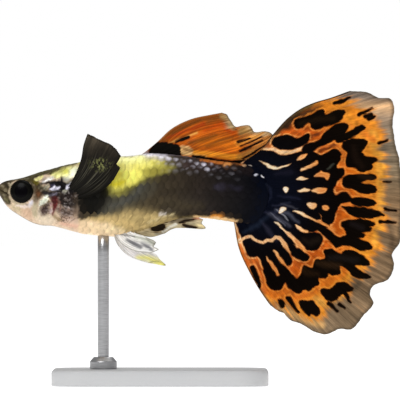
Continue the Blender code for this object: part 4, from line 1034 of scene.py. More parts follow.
def cells_of(grid, flip=False):
    """The four corners of each cell of a grid, in turn round it, or the other way round where flipped."""
    second, last = (grid[:-1, 1:], grid[1:, :-1]) if flip else (grid[1:, :-1], grid[:-1, 1:])
    return np.stack([grid[:-1, :-1], second, grid[1:, 1:], last], axis=2)


def tube_piece(name, rings, finish, points=None, above_floor=False, closed=False):
    """A closed surface through rings of points, each end gathered to its middle, or the last ring joined to
    the first. The bake map runs along the rings and round them."""
    count, sides, _ = rings.shape
    corner = np.arange(count * sides).reshape(count, sides)
    corner = np.concatenate([corner, corner[:, :1]], axis=1)
    if closed:
        corner = np.concatenate([corner, corner[:1]], axis=0)
    ways = np.linspace(0.03, 0.97, len(corner)), np.linspace(0.01, 0.99, sides + 1)
    place = np.stack(np.meshgrid(*ways, indexing="ij"), axis=-1)
    faces = cells_of(corner, flip=True).reshape(-1, 4).tolist()
    uv = [cells_of(place, flip=True).reshape(-1, 2)]
    spots = rings.reshape(-1, 3)
    if not closed:
        spots = np.vstack([spots, rings[0].mean(axis=0), rings[-1].mean(axis=0)])
        onward, back = slice(1, None), slice(None, -1)
        for end, tip, turn, away in ((0, -2, (onward, back), -0.02), (-1, -1, (back, onward), 0.02)):
            tips = np.full(sides, len(spots) + tip)
            faces += np.column_stack([tips, *(corner[end, part] for part in turn)]).tolist()
            middle = (place[end, 1:] + place[end, :-1]) / 2 + (away, 0)
            uv.append(np.stack([middle, *(place[end, part] for part in turn)], axis=1).reshape(-1, 2))
        for label, values in (points or {}).items():
            points[label] = np.concatenate([values, values[:1], values[-1:]])
    return new_piece(name, in_frame(spots, above_floor), faces, np.vstack(uv), finish, points)


def sheet_piece(name, front, back, finish, points):
    """A thin closed sheet: two grids of points a wall apart, joined round their four borders. Each face has
    its own half of the bake map."""
    rows, columns, _ = front.shape
    near = np.arange(rows * columns).reshape(rows, columns)
    far = near + near.size
    both = np.vstack([cells_of(near).reshape(-1, 4), cells_of(far, flip=True).reshape(-1, 4)])
    border = np.concatenate([near[:, 0], near[-1, 1:], near[-2::-1, -1], near[0, -2:0:-1]])
    after = np.roll(border, -1)
    rim = np.column_stack([border, border + near.size, after + near.size, after])
    u, v = np.meshgrid(np.linspace(0.03, 0.97, rows), np.linspace(0.02, 0.46, columns), indexing="ij")
    lower = np.column_stack([u.ravel(), v.ravel()])
    place = np.vstack([lower, lower * (1, -1) + (0, 1)])
    outward = (lower - (0.5, 0.24)) * (1.03, 1.05) + (0.5, 0.24)
    rim_uv = np.stack([lower[border], outward[border], outward[after], lower[after]], axis=1)
    uv = np.vstack([place[both].reshape(-1, 2), rim_uv.reshape(-1, 2)])
    spots = in_frame(np.concatenate([front.reshape(-1, 3), back.reshape(-1, 3)]))
    doubled = {label: np.concatenate([values, values]) for label, values in points.items()}
    return new_piece(name, spots, np.vstack([both, rim]).tolist(), uv, finish, doubled)


class Wire:
    """A shader socket that takes part in sums: each sign adds the Math node that it stands for."""

    def __init__(self, finish, socket):
        self.finish = finish
        self.socket = socket

    def _math(self, operation, first, second):
        return self.finish.node("ShaderNodeMath", {"operation": operation}, {0: first, 1: second})

    def __add__(self, other):
        return self._math("ADD", self, other)

    def __radd__(self, other):
        return self._math("ADD", other, self)

    def __sub__(self, other):
        return self._math("SUBTRACT", self, other)

    def __rsub__(self, other):
        return self._math("SUBTRACT", other, self)

    def __mul__(self, other):
        return self._math("MULTIPLY", self, other)

    def __rmul__(self, other):
        return self._math("MULTIPLY", other, self)


class Nodes:
    """A node tree round one shader, whose sockets are fed by expressions."""

    def __init__(self, tree, shader):
        self.tree = tree
        self.shader = tree.nodes[shader]

    def node(self, kind, settings=None, values=None, output=0):
        """A node with its settings, then its socket values or links. Returns one of its outputs."""
        made = self.tree.nodes.new(kind)
        for label, value in (settings or {}).items():
            if label == "stops":
                while len(made.color_ramp.elements) < len(value):
                    made.color_ramp.elements.new(0.5)
                for element, (position, shade) in zip(made.color_ramp.elements, value):
                    element.position = position
                    element.color = (*shade, 1.0)
            else:
                setattr(made, label, value)
        for label, value in (values or {}).items():
            if isinstance(value, Wire):
                self.tree.links.new(value.socket, made.inputs[label])
            else:
                made.inputs[label].default_value = value
        return Wire(self, made.outputs[output])

    def feed(self, label, wire):
        """The shader's socket of this name takes the wire."""
        self.tree.links.new(wire.socket, self.shader.inputs[label])


class Finish(Nodes):
    """A material under one Principled shader, with its constant sockets set by name."""

    def __init__(self, name, **constants):
        self.material = bpy.data.materials.new(name)
        self.material.use_nodes = True
        super().__init__(self.material.node_tree, "Principled BSDF")
        for label, value in constants.items():
            self.shader.inputs[label.replace("_", " ")].default_value = value

    def attribute(self, label, output="Fac"):
        """A mesh attribute as a number, a colour or a vector."""
        return self.node("ShaderNodeAttribute", {"attribute_name": label}, output=output)

    def place(self):
        """Where on the piece a spot lies, in metres."""
        return self.node("ShaderNodeTexCoord", output="Object")

    def stretch(self, vector, *sizes):
        """A vector or a colour times one number for each of its three parts."""
        return self.node("ShaderNodeVectorMath", {"operation": "MULTIPLY"}, {0: vector, 1: sizes})

    def brighten(self, colour, factor):
        """A colour times a number."""
        return self.node("ShaderNodeVectorMath", {"operation": "SCALE"}, {0: colour, 3: factor})

    def parts(self, vector):
        """The three numbers of a vector."""
        first = self.node("ShaderNodeSeparateXYZ", None, {0: vector})
        return [Wire(self, socket) for socket in first.socket.node.outputs]

    def noise(self, vector, scale, detail=2.0, roughness=0.5):
        """Smooth noise round 0.5, so many times a unit."""
        values = {"Vector": vector, "Scale": scale, "Detail": detail, "Roughness": roughness}
        return self.node("ShaderNodeTexNoise", None, values)

    def mix(self, factor, first, second):
        """One colour led into another by a factor."""
        return self.node("ShaderNodeMix", {"data_type": "RGBA"}, {0: factor, 6: first, 7: second}, output=2)

    def ramp(self, factor, first, second):
        """One colour up to 0.3, another from 0.7, and their blend between."""
        return self.node("ShaderNodeValToRGB", {"stops": ((0.3, first), (0.7, second))}, {0: factor})

    def rise(self, value, low, high):
        """0 below one value, 1 above another, smooth between."""
        values = {"Value": value, "From Min": low, "From Max": high}
        return self.node("ShaderNodeMapRange", {"interpolation_type": "SMOOTHSTEP"}, values)

    def wave(self, value, pitch):
        """A sine of a value, one wave a pitch."""
        return self.node("ShaderNodeMath", {"operation": "SINE"}, {0: value * (2 * np.pi / pitch)})

    def bump(self, height, distance, strength=1.0):
        """The surface tilted as by this height, times a distance in metres."""
        values = {"Height": height, "Distance": distance, "Strength": strength}
        self.feed("Normal", self.node("ShaderNodeBump", None, values))


def skin_finish(name, grain_bump):
    """Markings with fine speckle, a metallic gleam and a clear coat where pale, and a skin grain."""
    look = Finish(name, Specular_IOR_Level=0.05, Coat_Roughness=0.18)
    place = look.place()
    markings, gleam = look.attribute("Markings", "Color"), look.attribute("Gleam")
    fine = look.noise(place, 9000.0, 3.0)
    coarse = look.noise(place, 2600.0, 2.0)
    look.feed("Base Color", look.brighten(markings, 0.8 + 0.26 * fine + 0.14 * coarse))
    look.feed("Metallic", gleam * 0.25)
    look.feed("Coat Weight", gleam * 0.45)
    look.feed("Roughness", 0.52 - 0.16 * gleam + 0.12 * (fine - 0.5))
    pores = look.node("ShaderNodeTexVoronoi", None, {"Vector": place, "Scale": 7000.0})
    look.bump(0.6 * pores + 0.5 * fine, grain_bump * MM, 0.5)
    return look.material


def fin_finish(name, streak, ray_pitch, joint_pitch):
    """A membrane: its ground takes the edge colour beside the ink, all streaked along the rays, with rays and
    joints in relief.

    The fin's lie is millimetres across its rays, millimetres out along them, and how far it is margin."""
    look = Finish(name, Specular_IOR_Level=0.015, Coat_Roughness=0.25)
    lie, ink = look.attribute("Lie", "Vector"), look.attribute("Ink")
    ground, edge, tint = (look.attribute(label, "Color") for label in ("Markings", "Edge", "Tint"))
    across, out, margin = look.parts(lie)
    streaks = look.noise(look.stretch(lie, 4.2, 0.34, 0.0), 1.0, 3.0, 0.6)
    fine_streaks = look.noise(look.stretch(lie, 9.5, 0.8, 0.0), 1.0, 2.0)
    patches = look.noise(look.stretch(lie, 1.4, 1.0, 0.0), 1.0, 3.0)
    wobble = look.noise(look.stretch(lie, 3.2, 2.2, 0.0), 1.0, 3.0)
    feather = (0.06 + 0.014 * out) * (streaks + fine_streaks - 1.0)
    line = ink + feather + 0.12 * (wobble - 0.5) + 0.05
    inked = look.rise(line, -0.1, 0.05)
    shade = 1.0 + (1.3 + 1.6 * margin) * streak * (streaks - 0.5) + 1.8 * streak * (fine_streaks - 0.5)
    colour = look.brighten(ground, shade + 0.6 * (patches - 0.5))
    rimmed = look.brighten(edge, 0.7 + 0.6 * streaks)
    band = look.rise(line, -0.34, -0.17) * look.rise(patches, 0.3, 0.62)
    colour = look.mix(band * (0.9 - 0.6 * margin), colour, rimmed)
    colour = look.mix(look.rise(line, -0.13, -0.02) * 0.75, colour, look.stretch(colour, 0.45, 0.28, 0.18))
    colour = look.mix(inked, colour, look.brighten(tint, 0.4 + 1.2 * streaks))
    look.feed("Base Color", colour)
    look.feed("Coat Weight", 0.1 * (1 - inked))
    look.feed("Roughness", 0.54 + 0.14 * (patches - 0.5))
    rays, joints = look.wave(across, ray_pitch), look.wave(out, joint_pitch)
    look.bump(0.6 * rays + 0.16 * joints * rays + 0.5 * streaks, 0.035 * MM, 0.6)
    return look.material


def eye_finish():
    """Wet-looking, with fine fibres in the iris."""
    look = Finish("Eye", Specular_IOR_Level=0.05)
    fibres = look.noise(look.place(), 16000.0, 3.0)
    look.feed("Base Color", look.brighten(look.attribute("Markings", "Color"), 0.6 + 0.8 * fibres))
    look.feed("Roughness", 0.2 + 0.08 * fibres)
    return look.material


def lacquer_finish(colour):
    """A pale lacquer that flows a little, with dust in it."""
    look = Finish("Lacquer", Specular_IOR_Level=0.35)
    place = look.place()
    flow, dust = look.noise(place, 260.0, 2.0), look.noise(place, 5200.0, 2.0)
    tinted = look.mix(flow * 0.25, (*colour, 1.0), (0.62, 0.61, 0.58, 1.0))
    look.feed("Base Color", look.brighten(tinted, 0.96 + 0.06 * dust))
    look.feed("Roughness", 0.34 + 0.12 * flow)
    look.bump(0.7 * flow + 0.3 * dust, 0.02 * MM, 0.4)
    return look.material


def steel_finish():
    """Steel brushed round its axis."""
    look = Finish("Brushed_steel", Metallic=1.0)
    turned = look.noise(look.stretch(look.place(), 700.0, 700.0, 14000.0), 1.0, 3.0)
    look.feed("Base Color", look.ramp(turned, (0.34, 0.34, 0.35), (0.52, 0.52, 0.53)))
    look.feed("Roughness", 0.26 + 0.16 * turned)
    look.bump(turned, 0.008 * MM, 0.5)
    return look.material


def fin_grid(plan, rays, steps):
    """A patch between four edges, each met exactly: the sum of its two pairs of edges less its corners."""
    root, rim = (curve_through(plan[edge], rays)[:, None] for edge in ("root", "rim"))
    front, back = (curve_through(plan[edge], steps)[None] for edge in ("front", "back"))
    across, reach = np.meshgrid(np.linspace(0, 1, rays), np.linspace(0, 1, steps), indexing="ij")
    v, t = across[..., None], reach[..., None]
    corners = (1 - v) * ((1 - t) * root[0] + t * rim[0]) + v * ((1 - t) * root[-1] + t * rim[-1])
    return (1 - t) * root + t * rim + (1 - v) * front + v * back - corners, across, reach


def ray_ridges(across, reach, count):
    """Rays that fork twice on the way out: a cosine across the fin whose beat doubles at each fork."""
    waves = [0.5 + 0.5 * np.cos(2 * np.pi * count * times * across) for times in (1, 2, 4)]
    first, second = rise(0.25, 0.45, reach), rise(0.6, 0.8, reach)
    return waves[0] * (1 - first) + first * (waves[1] * (1 - second) + second * waves[2])


def fin_piece(name, plan, sideways, node, finish, painter, size, rays, half_wall, relief):
    """A fin: its plan moved sideways, with two faces a thin wall apart, ridged by rays and worn at its rim.

    The painter takes photograph spots, across and reach and gives the ground, the colour beside the ink, the
    ink's colour, how deep in the ink and how far in the margin each spot lies."""
    across_steps, out_steps, width, length = size
    flat, across, reach = fin_grid(plan, across_steps, out_steps)
    ridges = ray_ridges(across, reach, rays)
    tatter = cloud(across * rays * 1.1, reach * 3, 17) + 0.5 * cloud(across * rays * 2.9, reach * 3, 18)
    wear = np.maximum(0.05 + 0.11 * tatter + 0.03 * (1 - ridges), 0) * rise(0.94, 1.0, reach)
    outward = np.gradient(flat, axis=1)
    outward /= np.linalg.norm(outward, axis=-1, keepdims=True) + 1e-9
    flat = flat - outward * wear[..., None]
    middle = np.stack([flat[..., 0], sideways(flat, across, reach), flat[..., 1]], axis=-1)
    normal = grid_normals(middle, wrap=False)
    lead = np.exp(-across * width / 0.25) + 0.6 * np.exp(-(1 - across) * width / 0.2)
    taper = rise(1.0, 0.965, reach) * rise(-0.002, 0.004, across) * rise(1.002, 0.996, across)
    wall = half_wall * (1.15 - 0.55 * reach) + relief * ridges * (1 - 0.4 * reach) + 0.07 * lead
    wall = wall * (0.25 + 0.75 * taper)
    front, back = middle + normal * wall[..., None], middle - normal * wall[..., None]
    spots = on_photo(flat[..., 0], flat[..., 1])
    ground, edge, tint, ink, margin = painter(spots, across.ravel(), reach.ravel())
    lie = np.column_stack([across.ravel() * width, reach.ravel() * length, margin])
    ground, edge = np.clip(ground, 0, 1), np.clip(edge, 0, 1)
    points = {"Markings": ground, "Edge": edge, "Tint": tint, "Ink": ink, "Lie": lie}
    piece = sheet_piece(name, front, back, finish, points)
    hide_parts(node)
    return piece


def deepest(spots, outlines, lines):
    """How deep each spot lies inside the outlines and lines together, in photograph pixels."""
    depth = np.full(len(spots), -10.0)
    for outline in outlines:
        depth = np.maximum(depth, depth_in_mark(spots, outline))
    for half_widths, *points in lines:
        depth = np.maximum(depth, depth_in_mark(spots, points, half_widths))
    return depth


def ray_streaks(across, reach, count, seed):
    """Random streaks that run out along the rays."""
    return cloud(across * count, reach * 2.3, seed) + 0.6 * cloud(across * count * 2.3, reach * 4.1, seed + 1)


def paint_tail(spots, across, reach):
    """Orange ground with cream to peach lights, inked blue-black at the root and brown-black beyond, and a
    sandy margin streaked by rays."""
    streaks, fine = ray_streaks(across, reach, 48, 41), ray_streaks(across, reach, 120, 45)
    column, row = spots.T
    drawn = spots + 0.7 * drift(column / 4, row / 4, 43)
    from_root = np.hypot(column - TAIL_ROOT[0], row - TAIL_ROOT[1])
    light = deepest(drawn, TAIL_LIGHTS, TAIL_LIGHT_LINES)
    depth = np.minimum(deepest(drawn, TAIL_INK, TAIL_INK_LINES), -light) / PHOTO_PER_MM
    ground = paint(blend_stops(from_root, TAIL_GROUND_STOPS), drawn, TAIL_GROUND_MARKS)
    mottle = cloud(column / 3.4, row / 3.4, 46) + 0.5 * fine
    ground *= np.exp(0.22 * streaks + 0.3 * np.clip(mottle, -1.2, 0.8))[:, None]
    ground = blend_in(ground, blend_stops(from_root, TAIL_LIGHT_STOPS), 0.95 * rise(-1.6, 0.4, light))
    core = rise(0.3, 1.5, light) * np.maximum(rise(216, 236, row), rise(40, 62, from_root))
    ground = blend_in(ground, tone((204, 122, 58)), 0.85 * core)
    base = rise(30, 22, from_root) * rise(-0.5, 0.5, light)
    ground = blend_in(ground, tone((236, 226, 224)), 0.7 * base)
    edge = blend_stops(from_root, TAIL_EDGE_STOPS) * np.exp(0.18 * streaks)[:, None]
    margin = rise(5.0, -5.0, depth_in_mark(spots, TAIL_WARM) + 3.0 * streaks + 4.5 * fine)
    sand = paint(blend_stops(row, TAIL_SAND_STOPS), spots, TAIL_SAND_MARKS)
    sand *= np.exp(0.26 * streaks + 0.3 * np.clip(fine, -1.4, 1.0))[:, None]
    rim = rise(0.972, 0.995, reach) * margin
    front, trail = rise(0.0085, 0.003, across), rise(0.984, 0.994, across)
    for cover, colour in ((margin, sand), (0.85 * front, tone((44, 32, 18))),
                          (0.8 * trail, tone((110, 76, 28))), (0.7 * rim, tone((80, 68, 52)))):
        ground = blend_in(ground, colour, cover)
        edge = blend_in(edge, colour, cover)
    tint = paint(blend_stops(from_root, TAIL_TINT_STOPS), drawn, TAIL_TINT_MARKS)
    return ground, edge, tint, depth, margin


def paint_dorsal(spots, across, reach):
    """Rusty orange with a black patch at its front root, dark streaks at the rear and a sandy rim."""
    streaks, fine = ray_streaks(across, reach, 22, 51), ray_streaks(across, reach, 52, 53)
    drawn = spots + 0.8 * np.column_stack([streaks, fine])
    ground = paint(all_over((186, 88, 16), len(spots)), drawn, DORSAL_MARKS)
    rear = rise(238, 262, spots[:, 0])
    ground = blend_in(ground, tone((224, 160, 80)), 0.55 * rear)
    ground *= (0.88 + 0.12 * rear)[:, None]
    ground *= np.exp(0.3 * streaks + (0.34 + 0.2 * rear) * np.clip(fine, -1.4, 0.9))[:, None]
    margin = rise(0.9, 1.0, reach + 0.05 * streaks + 0.04 * fine) * rise(0.02, 0.1, across)
    sand = tone((170, 146, 108)) * np.exp(0.4 * fine)[:, None]
    front, rim = rise(0.026, 0.008, across), rise(0.972, 0.995, reach)
    for cover, colour in ((0.85 * margin, sand), (0.6 * front, tone((150, 110, 62))),
                          (0.6 * rim, tone((84, 74, 54)))):
        ground = blend_in(ground, colour, cover)
    depth = deepest(drawn, DORSAL_INK, DORSAL_INK_LINES) / PHOTO_PER_MM
    return ground, ground * 0.8, all_over((14, 12, 9), len(spots)), depth, 0.6 * margin


def paint_pale(marks, outlines, lines, colour, seed):
    """A painter for a pale, glassy fin with its own marks and ink."""
    def painter(spots, across, reach):
        streaks, fine = ray_streaks(across, reach, 9, seed), ray_streaks(across, reach, 24, seed + 3)
        drawn = spots + 0.7 * np.column_stack([streaks, fine])
        ground = paint(all_over(colour, len(spots)), drawn, marks)
        ground *= np.exp(0.14 * streaks + 0.2 * np.clip(fine, -1.4, 0.6))[:, None]
        edge_line = np.maximum(rise(0.95, 0.985, reach), rise(0.035, 0.01, across))
        ground = blend_in(ground, tone((112, 106, 88)), 0.65 * edge_line)
        depth = deepest(drawn, outlines, lines) / PHOTO_PER_MM
        return ground, ground * 0.55, all_over(INK_BROWN, len(spots)), depth, np.zeros(len(spots))

    return painter


def paint_pectoral(spots, across, reach):
    """Near-black, browner at the tip, with pale hairlines along the rays and a cluster of olive specks."""
    streaks, fine = ray_streaks(across, reach, 12, 71), ray_streaks(across, reach, 40, 73)
    column, row = spots.T
    ground = blend_stops(row, PECTORAL_STOPS) * np.exp(0.35 * streaks + 0.2 * fine)[:, None]
    hairs = rise(0.35, 0.95, fine) * spread(spots, *PECTORAL_HAIRS)
    ground = blend_in(ground, tone(HAIRLINE), 0.6 * hairs)
    speck = cloud(column / 1.3, row / 1.7, 75) + 0.6 * cloud(column / 0.7, row / 0.9, 76)
    cluster = spread(spots, *PECTORAL_SPECKS) * rise(0.0, 0.7, speck)
    ground = blend_in(ground, tone(SPECK_OLIVE), 0.9 * cluster)
    lead = np.maximum(rise(0.05, 0.015, across), rise(0.96, 0.99, reach))
    ground = blend_in(ground, tone((28, 25, 20)), 0.6 * lead)
    return ground, ground, 0 * ground, np.full(len(spots), -1.0), np.zeros(len(spots))


def caudal_sideways(flat, across, reach):
    """One slow bend and five folds across the fan, both growing towards the rim."""
    bend = np.sin(2 * np.pi * CAUDAL_SWAY_WAVES * across + CAUDAL_SWAY_PHASE)
    folds = np.sin(2 * np.pi * CAUDAL_RIPPLE_WAVES * across)
    return CAUDAL_SWAY * reach**2 * bend + CAUDAL_RIPPLE * reach**3 * folds


def dorsal_sideways(flat, across, reach):
    """The trailing end swings to the right, past the upper edge of the tail fan."""
    return DORSAL_SWAY * rise(*DORSAL_SWAY_SPAN, flat[..., 0])


def anal_sideways(flat, across, reach):
    """Flat in the middle plane."""
    return 0 * reach


def pectoral_sideways(side):
    """Flared away from the flank, with one wave that grows towards the rim."""

    def away(flat, across, reach):
        wave = PECTORAL_RIPPLE * reach * np.sin(2 * np.pi * across)
        return side * (PECTORAL_ROOT_OFFSET + PECTORAL_FLARE * reach**0.9 + wave)

    return away


def pelvic_sideways(side):
    """Spread evenly away from the middle."""
    return lambda flat, across, reach: side * (PELVIC_ROOT_OFFSET + PELVIC_SPREAD * reach)


class GuppyBodySettings(bpy.types.PropertyGroup):
    skin_inset: bpy.props.FloatProperty(
        name="Skin inset", description="How far the skin lies under the scales", default=0.05 * MM,
        subtype="DISTANCE", precision=5)
    scale_pitch: bpy.props.FloatProperty(
        name="Scale pitch", description="Spacing of the rows of scales along the body", default=0.88 * MM,
        subtype="DISTANCE", precision=5)
    scale_rows: bpy.props.IntProperty(
        name="Scale rows", description="Rows of scales from the back to the belly on each side", default=12)
    scale_lift: bpy.props.FloatProperty(
        name="Scale lift", description="How far a scale's free edge stands off the skin", default=0.03 * MM,
        subtype="DISTANCE", precision=5)
    eye_colour: bpy.props.FloatVectorProperty(
        name="Eye colour", description="Colour of the iris", default=tone((17, 16, 13)).tolist(),
        subtype="COLOR")


class GuppyFinSettings(bpy.types.PropertyGroup):
    half_wall: bpy.props.FloatProperty(
        name="Half thickness", description="Half the thickness of a fin's membrane at its root",
        default=0.085 * MM, subtype="DISTANCE", precision=5)
    ray_relief: bpy.props.FloatProperty(
        name="Ray relief", description="How far the rays stand out of the membrane", default=0.05 * MM,
        subtype="DISTANCE", precision=5)


class GuppyStageSettings(bpy.types.PropertyGroup):
    lacquer: bpy.props.FloatVectorProperty(
        name="Base colour", description="Colour of the lacquered base",
        default=tone((192, 193, 195)).tolist(), subtype="COLOR")
    lens: bpy.props.FloatProperty(
        name="Lens", description="Focal length of the camera in millimetres", default=600.0)
    surround: bpy.props.FloatProperty(
        name="Surround light", description="Strength of the even light from all round", default=0.36)
    key: bpy.props.FloatProperty(
        name="Key light", description="Power of the large soft light in front and above", default=1.75,
        subtype="POWER")


class GUPPY_OT_skin(bpy.types.Operator):
    """Make the skin: one closed surface from snout to tail root, with its relief and markings"""

    bl_idname = "guppy.skin"
    bl_label = "Skin"

    def execute(self, context):
        turn = np.linspace(0, np.pi / 2, SNOUT_RINGS)
        head = np.linspace(SNOUT_ROUND, HEAD_END, HEAD_RINGS)[1:]
        trunk = np.linspace(HEAD_END, FLESH_LENGTH, TRUNK_RINGS)[1:]
        behind = np.concatenate([SNOUT_ROUND * (1 - np.cos(turn[1:])), head, trunk])
        inset = context.scene.guppy_body.skin_inset / MM * rise(4.0, 8.5, behind)[:, None]
        rings = body_rings(behind, SKIN_SIDES, inset)
        half = np.abs(rings[..., 1]).max(axis=1, keepdims=True)
        normal = -grid_normals(rings, wrap=True)
        off_middle = rise(0.12, 0.5, np.abs(rings[..., 1]) / half)
        relief = head_relief(rings[..., 0], rings[..., 2]) * off_middle
        shaped = seat_for_eyes(rings + normal * relief[..., None], half)
        crown = rise(0.55, 0.05, np.abs(shaped[..., 1]) / half)
        colours, gleam = skin_colours(shaped[..., 0], shaped[..., 2], crown)
        skin = tube_piece("skin", shaped, skin_finish("Skin", 0.03), {"Markings": colours, "Gleam": gleam})
        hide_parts("head", "jaw_lower", "gill_cover_left", "gill_cover_right", "trunk", "tail_stem")
        return {"FINISHED"}


class GUPPY_OT_scales(bpy.types.Operator):
    """Make the scales: thin overlapping lens plates in staggered rows over both flanks"""

    bl_idname = "guppy.scales"
    bl_label = "Scales"

    def execute(self, context):
        scale_coat(context.scene.guppy_body)
        return {"FINISHED"}


def scale_plate(rows=6, columns=5):
    """One scale: a square grid mapped onto a disc, its two faces bowed apart and sharing their border."""
    a, b = np.meshgrid(np.linspace(-1, 1, rows), np.linspace(-1, 1, columns), indexing="ij")
    disc = np.stack([a * np.sqrt(1 - b**2 / 2), b * np.sqrt(1 - a**2 / 2)], axis=-1).reshape(-1, 2)
    top = np.arange(rows * columns).reshape(rows, columns)
    inner = np.zeros((rows, columns), bool)
    inner[1:-1, 1:-1] = True
    bottom = top.copy()
    bottom[inner] = rows * columns + np.arange(inner.sum())
    quads = np.vstack([cells_of(top).reshape(-1, 4), cells_of(bottom, flip=True).reshape(-1, 4)])
    places = np.vstack([disc, disc[inner.ravel()]])
    face = np.concatenate([np.ones(rows * columns), -np.ones(inner.sum())])
    border = np.concatenate([~inner.ravel(), np.zeros(inner.sum(), bool)])
    return places, face, quads, border


def sharpen(mesh, border):
    """The edges that join two border corners are left unsmoothed."""
    ends = np.empty(2 * len(mesh.edges), int)
    mesh.edges.foreach_get("vertices", ends)
    sharp = border[ends.reshape(-1, 2)].all(axis=1)
    mesh.attributes.new("sharp_edge", "BOOLEAN", "EDGE").data.foreach_set("value", sharp)


def read_grid(table, u, v):
    """Values of a table between its grid points, at fractional rows and columns."""
    row = np.clip(np.floor(u).astype(int), 0, table.shape[0] - 2)
    column = np.clip(np.floor(v).astype(int), 0, table.shape[1] - 2)
    s, t = (u - row)[..., None], (v - column)[..., None]
    low = table[row, column] * (1 - t) + table[row, column + 1] * t
    high = table[row + 1, column] * (1 - t) + table[row + 1, column + 1] * t
    return low * (1 - s) + high * s


def flank_table(behind, sides=96):
    """The right flank from back to belly, at even steps of the way round, and its outward normals."""
    rings = body_rings(behind, 720)
    half = np.concatenate([rings[:, 180::-1], rings[:, :539:-1]], axis=1)
    steps = np.linalg.norm(np.diff(half, axis=1), axis=-1)
    way = np.concatenate([np.zeros((len(half), 1)), np.cumsum(steps, axis=1)], axis=1)
    even = np.linspace(0, 1, sides)
    flank = np.stack([
        np.stack([np.interp(even * length[-1], length, line[:, axis]) for axis in range(3)], axis=-1)
        for length, line in zip(way, half)
    ])
    normal = grid_normals(flank, wrap=False)
    normal *= np.sign(normal[:, sides // 2, 1]).mean()
    return flank, normal


def scale_roots(rows, pitch):
    """Where each scale sits in its staggered row: behind the snout, and its share of the way to the belly."""
    columns = np.arange(*SCALES_SPAN, pitch / 2)
    roots, bands = np.meshgrid(columns, np.arange(rows), indexing="ij")
    stagger = np.arange(len(columns))[:, None] % 2 == bands % 2
    roots, fraction = roots[stagger], (bands[stagger] + 0.5) / rows
    keep = fraction < np.interp(roots, *CROWN_SCALES)
    return roots[keep], fraction[keep]


def pearly_glints(roots, along, above):
    """How strongly each scale of the upper back takes the painted pearly glint, and how much of the glint
    each of its spots keeps.
    """
    column, row = on_photo(roots, above.mean(axis=1)).T
    under_back = row - (PHOTO_AXIS_ROW - PHOTO_PER_MM * through(BODY_SECTIONS, roots)[:, 0])
    start = 0.4 + 3.3 * rise(200, 214, column)
    second_row = 0.4 * rise(21, 9, under_back) + 0.6 * rise(12, 8, under_back)
    near_back = rise(start, start + 3, under_back) * second_row
    ahead, down = on_photo(along, above).T
    fleck = rise(-0.7, 0.25, cloud(ahead / 1.5, down / 2.2, 33)).reshape(along.shape)
    return near_back * rise(146, 166, column) * rise(240, 206, column), fleck


def scale_coat(settings):
    """Scales in staggered rows, each turned to the skin under it and tilted up at its rear edge."""
    rows, pitch = settings.scale_rows, settings.scale_pitch / MM
    behind = np.linspace(0.5, FLESH_LENGTH - 0.2, 260)
    flank, normal = flank_table(behind)
    roots, fraction = scale_roots(rows, pitch)
    places, face, quads, border = scale_plate()
    up, rearward = places.T
    length = SCALE_LENGTH * pitch * (1.0 - 0.18 * rise(20, 31, roots))
    along = roots[:, None] + rearward * length[:, None]
    across = np.clip(fraction[:, None] + up * SCALE_WIDTH / rows, 0.004, 0.996)
    u, v = (along - behind[0]) / (behind[1] - behind[0]), across * (flank.shape[1] - 1)
    bow = (1 - np.sum(places**2, axis=1)) * (SCALE_WALL * face + SCALE_BOW)
    height = (rearward - 0.25) * settings.scale_lift / MM + bow
    spot = read_grid(flank, u, v) + read_grid(normal, u, v) * height[None, :, None]
    crown = rise(0.1, 0.01, across) + rise(0.93, 0.99, across)
    colours, gleam = skin_colours(along, spot[..., 2], crown)
    colours, gleam = colours.reshape(*along.shape, 3), gleam.reshape(along.shape)
    colours = colours + (colours.mean(axis=1, keepdims=True) - colours) * SCALE_OWN_COLOUR
    # Painted glints: pale lilac highlights laid into the colour of the pearly scales of the upper back
    glint, fleck = pearly_glints(roots, along, spot[..., 2])
    rear = rise(0.62, 0.98, rearward)
    draw = np.random.default_rng(SCALE_SEED).uniform(-1, 1, (len(roots), 2, 2))
    corners, spots, tints, gleams, maps = [], [], [], [], []
    for index, side in enumerate((-1, 1)):
        first, second = draw[:, index, 0][:, None], draw[:, index, 1][:, None]
        faces = quads if side > 0 else quads[:, ::-1]
        start = np.arange(len(roots))[:, None, None] * len(places) + index * along.size
        corners.append((start + faces[None]).reshape(-1, 4))
        spots.append((spot * (1, side, 1)).reshape(-1, 3))
        own = 0.15 + 0.85 * np.abs(second)
        off_middle = 1.5 * (up - 0.5 * first) ** 2 + 0.8 * (rearward - 0.35) ** 2
        # The painted glint's spot on each scale, its colour and how much of it each spot takes
        glint_spot = fleck * np.exp(-off_middle / (0.1 + 0.16 * own))
        glint_colour = tone(PEARL_GLINT) * (0.7 + 0.3 * own)[..., None]
        glinted = blend_in(colours, glint_colour, glint[:, None] * (0.5 + 0.5 * own) * glint_spot)
        tints.append((glinted * (1 + 0.12 * first - 0.24 * rear)[..., None]).reshape(-1, 3))
        gleams.append((gleam * (1 + 0.6 * second)).reshape(-1))
        middle = 0.02 + 0.96 * roots / FLESH_LENGTH, 0.5 + side * (0.01 + 0.47 * fraction)
        patch = np.stack(middle, axis=-1)[:, None] + SCALE_MAP_RADIUS * places[None]
        maps.append(patch[:, faces.ravel()].reshape(-1, 2))
    points = {"Markings": np.clip(np.vstack(tints), 0, 1), "Gleam": np.clip(np.concatenate(gleams), 0, 1)}
    coat = new_piece("scales", in_frame(np.vstack(spots)), np.vstack(corners).tolist(), np.vstack(maps),
                     skin_finish("Scales", 0.015), points)
    sharpen(coat.data, np.tile(border, 2 * len(roots)))


class GUPPY_OT_eyes(bpy.types.Operator):
    """Make the eyes: glossy lenses, dark from pupil to rim"""

    bl_idname = "guppy.eyes"
    bl_label = "Eyes"

    def execute(self, context):
        finish = eye_finish()
        for label, side in (("left", -1), ("right", 1)):
            eye = eye_piece(label, side, finish, np.array(context.scene.guppy_body.eye_colour))
            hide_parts(f"eye_{label}")
        return {"FINISHED"}


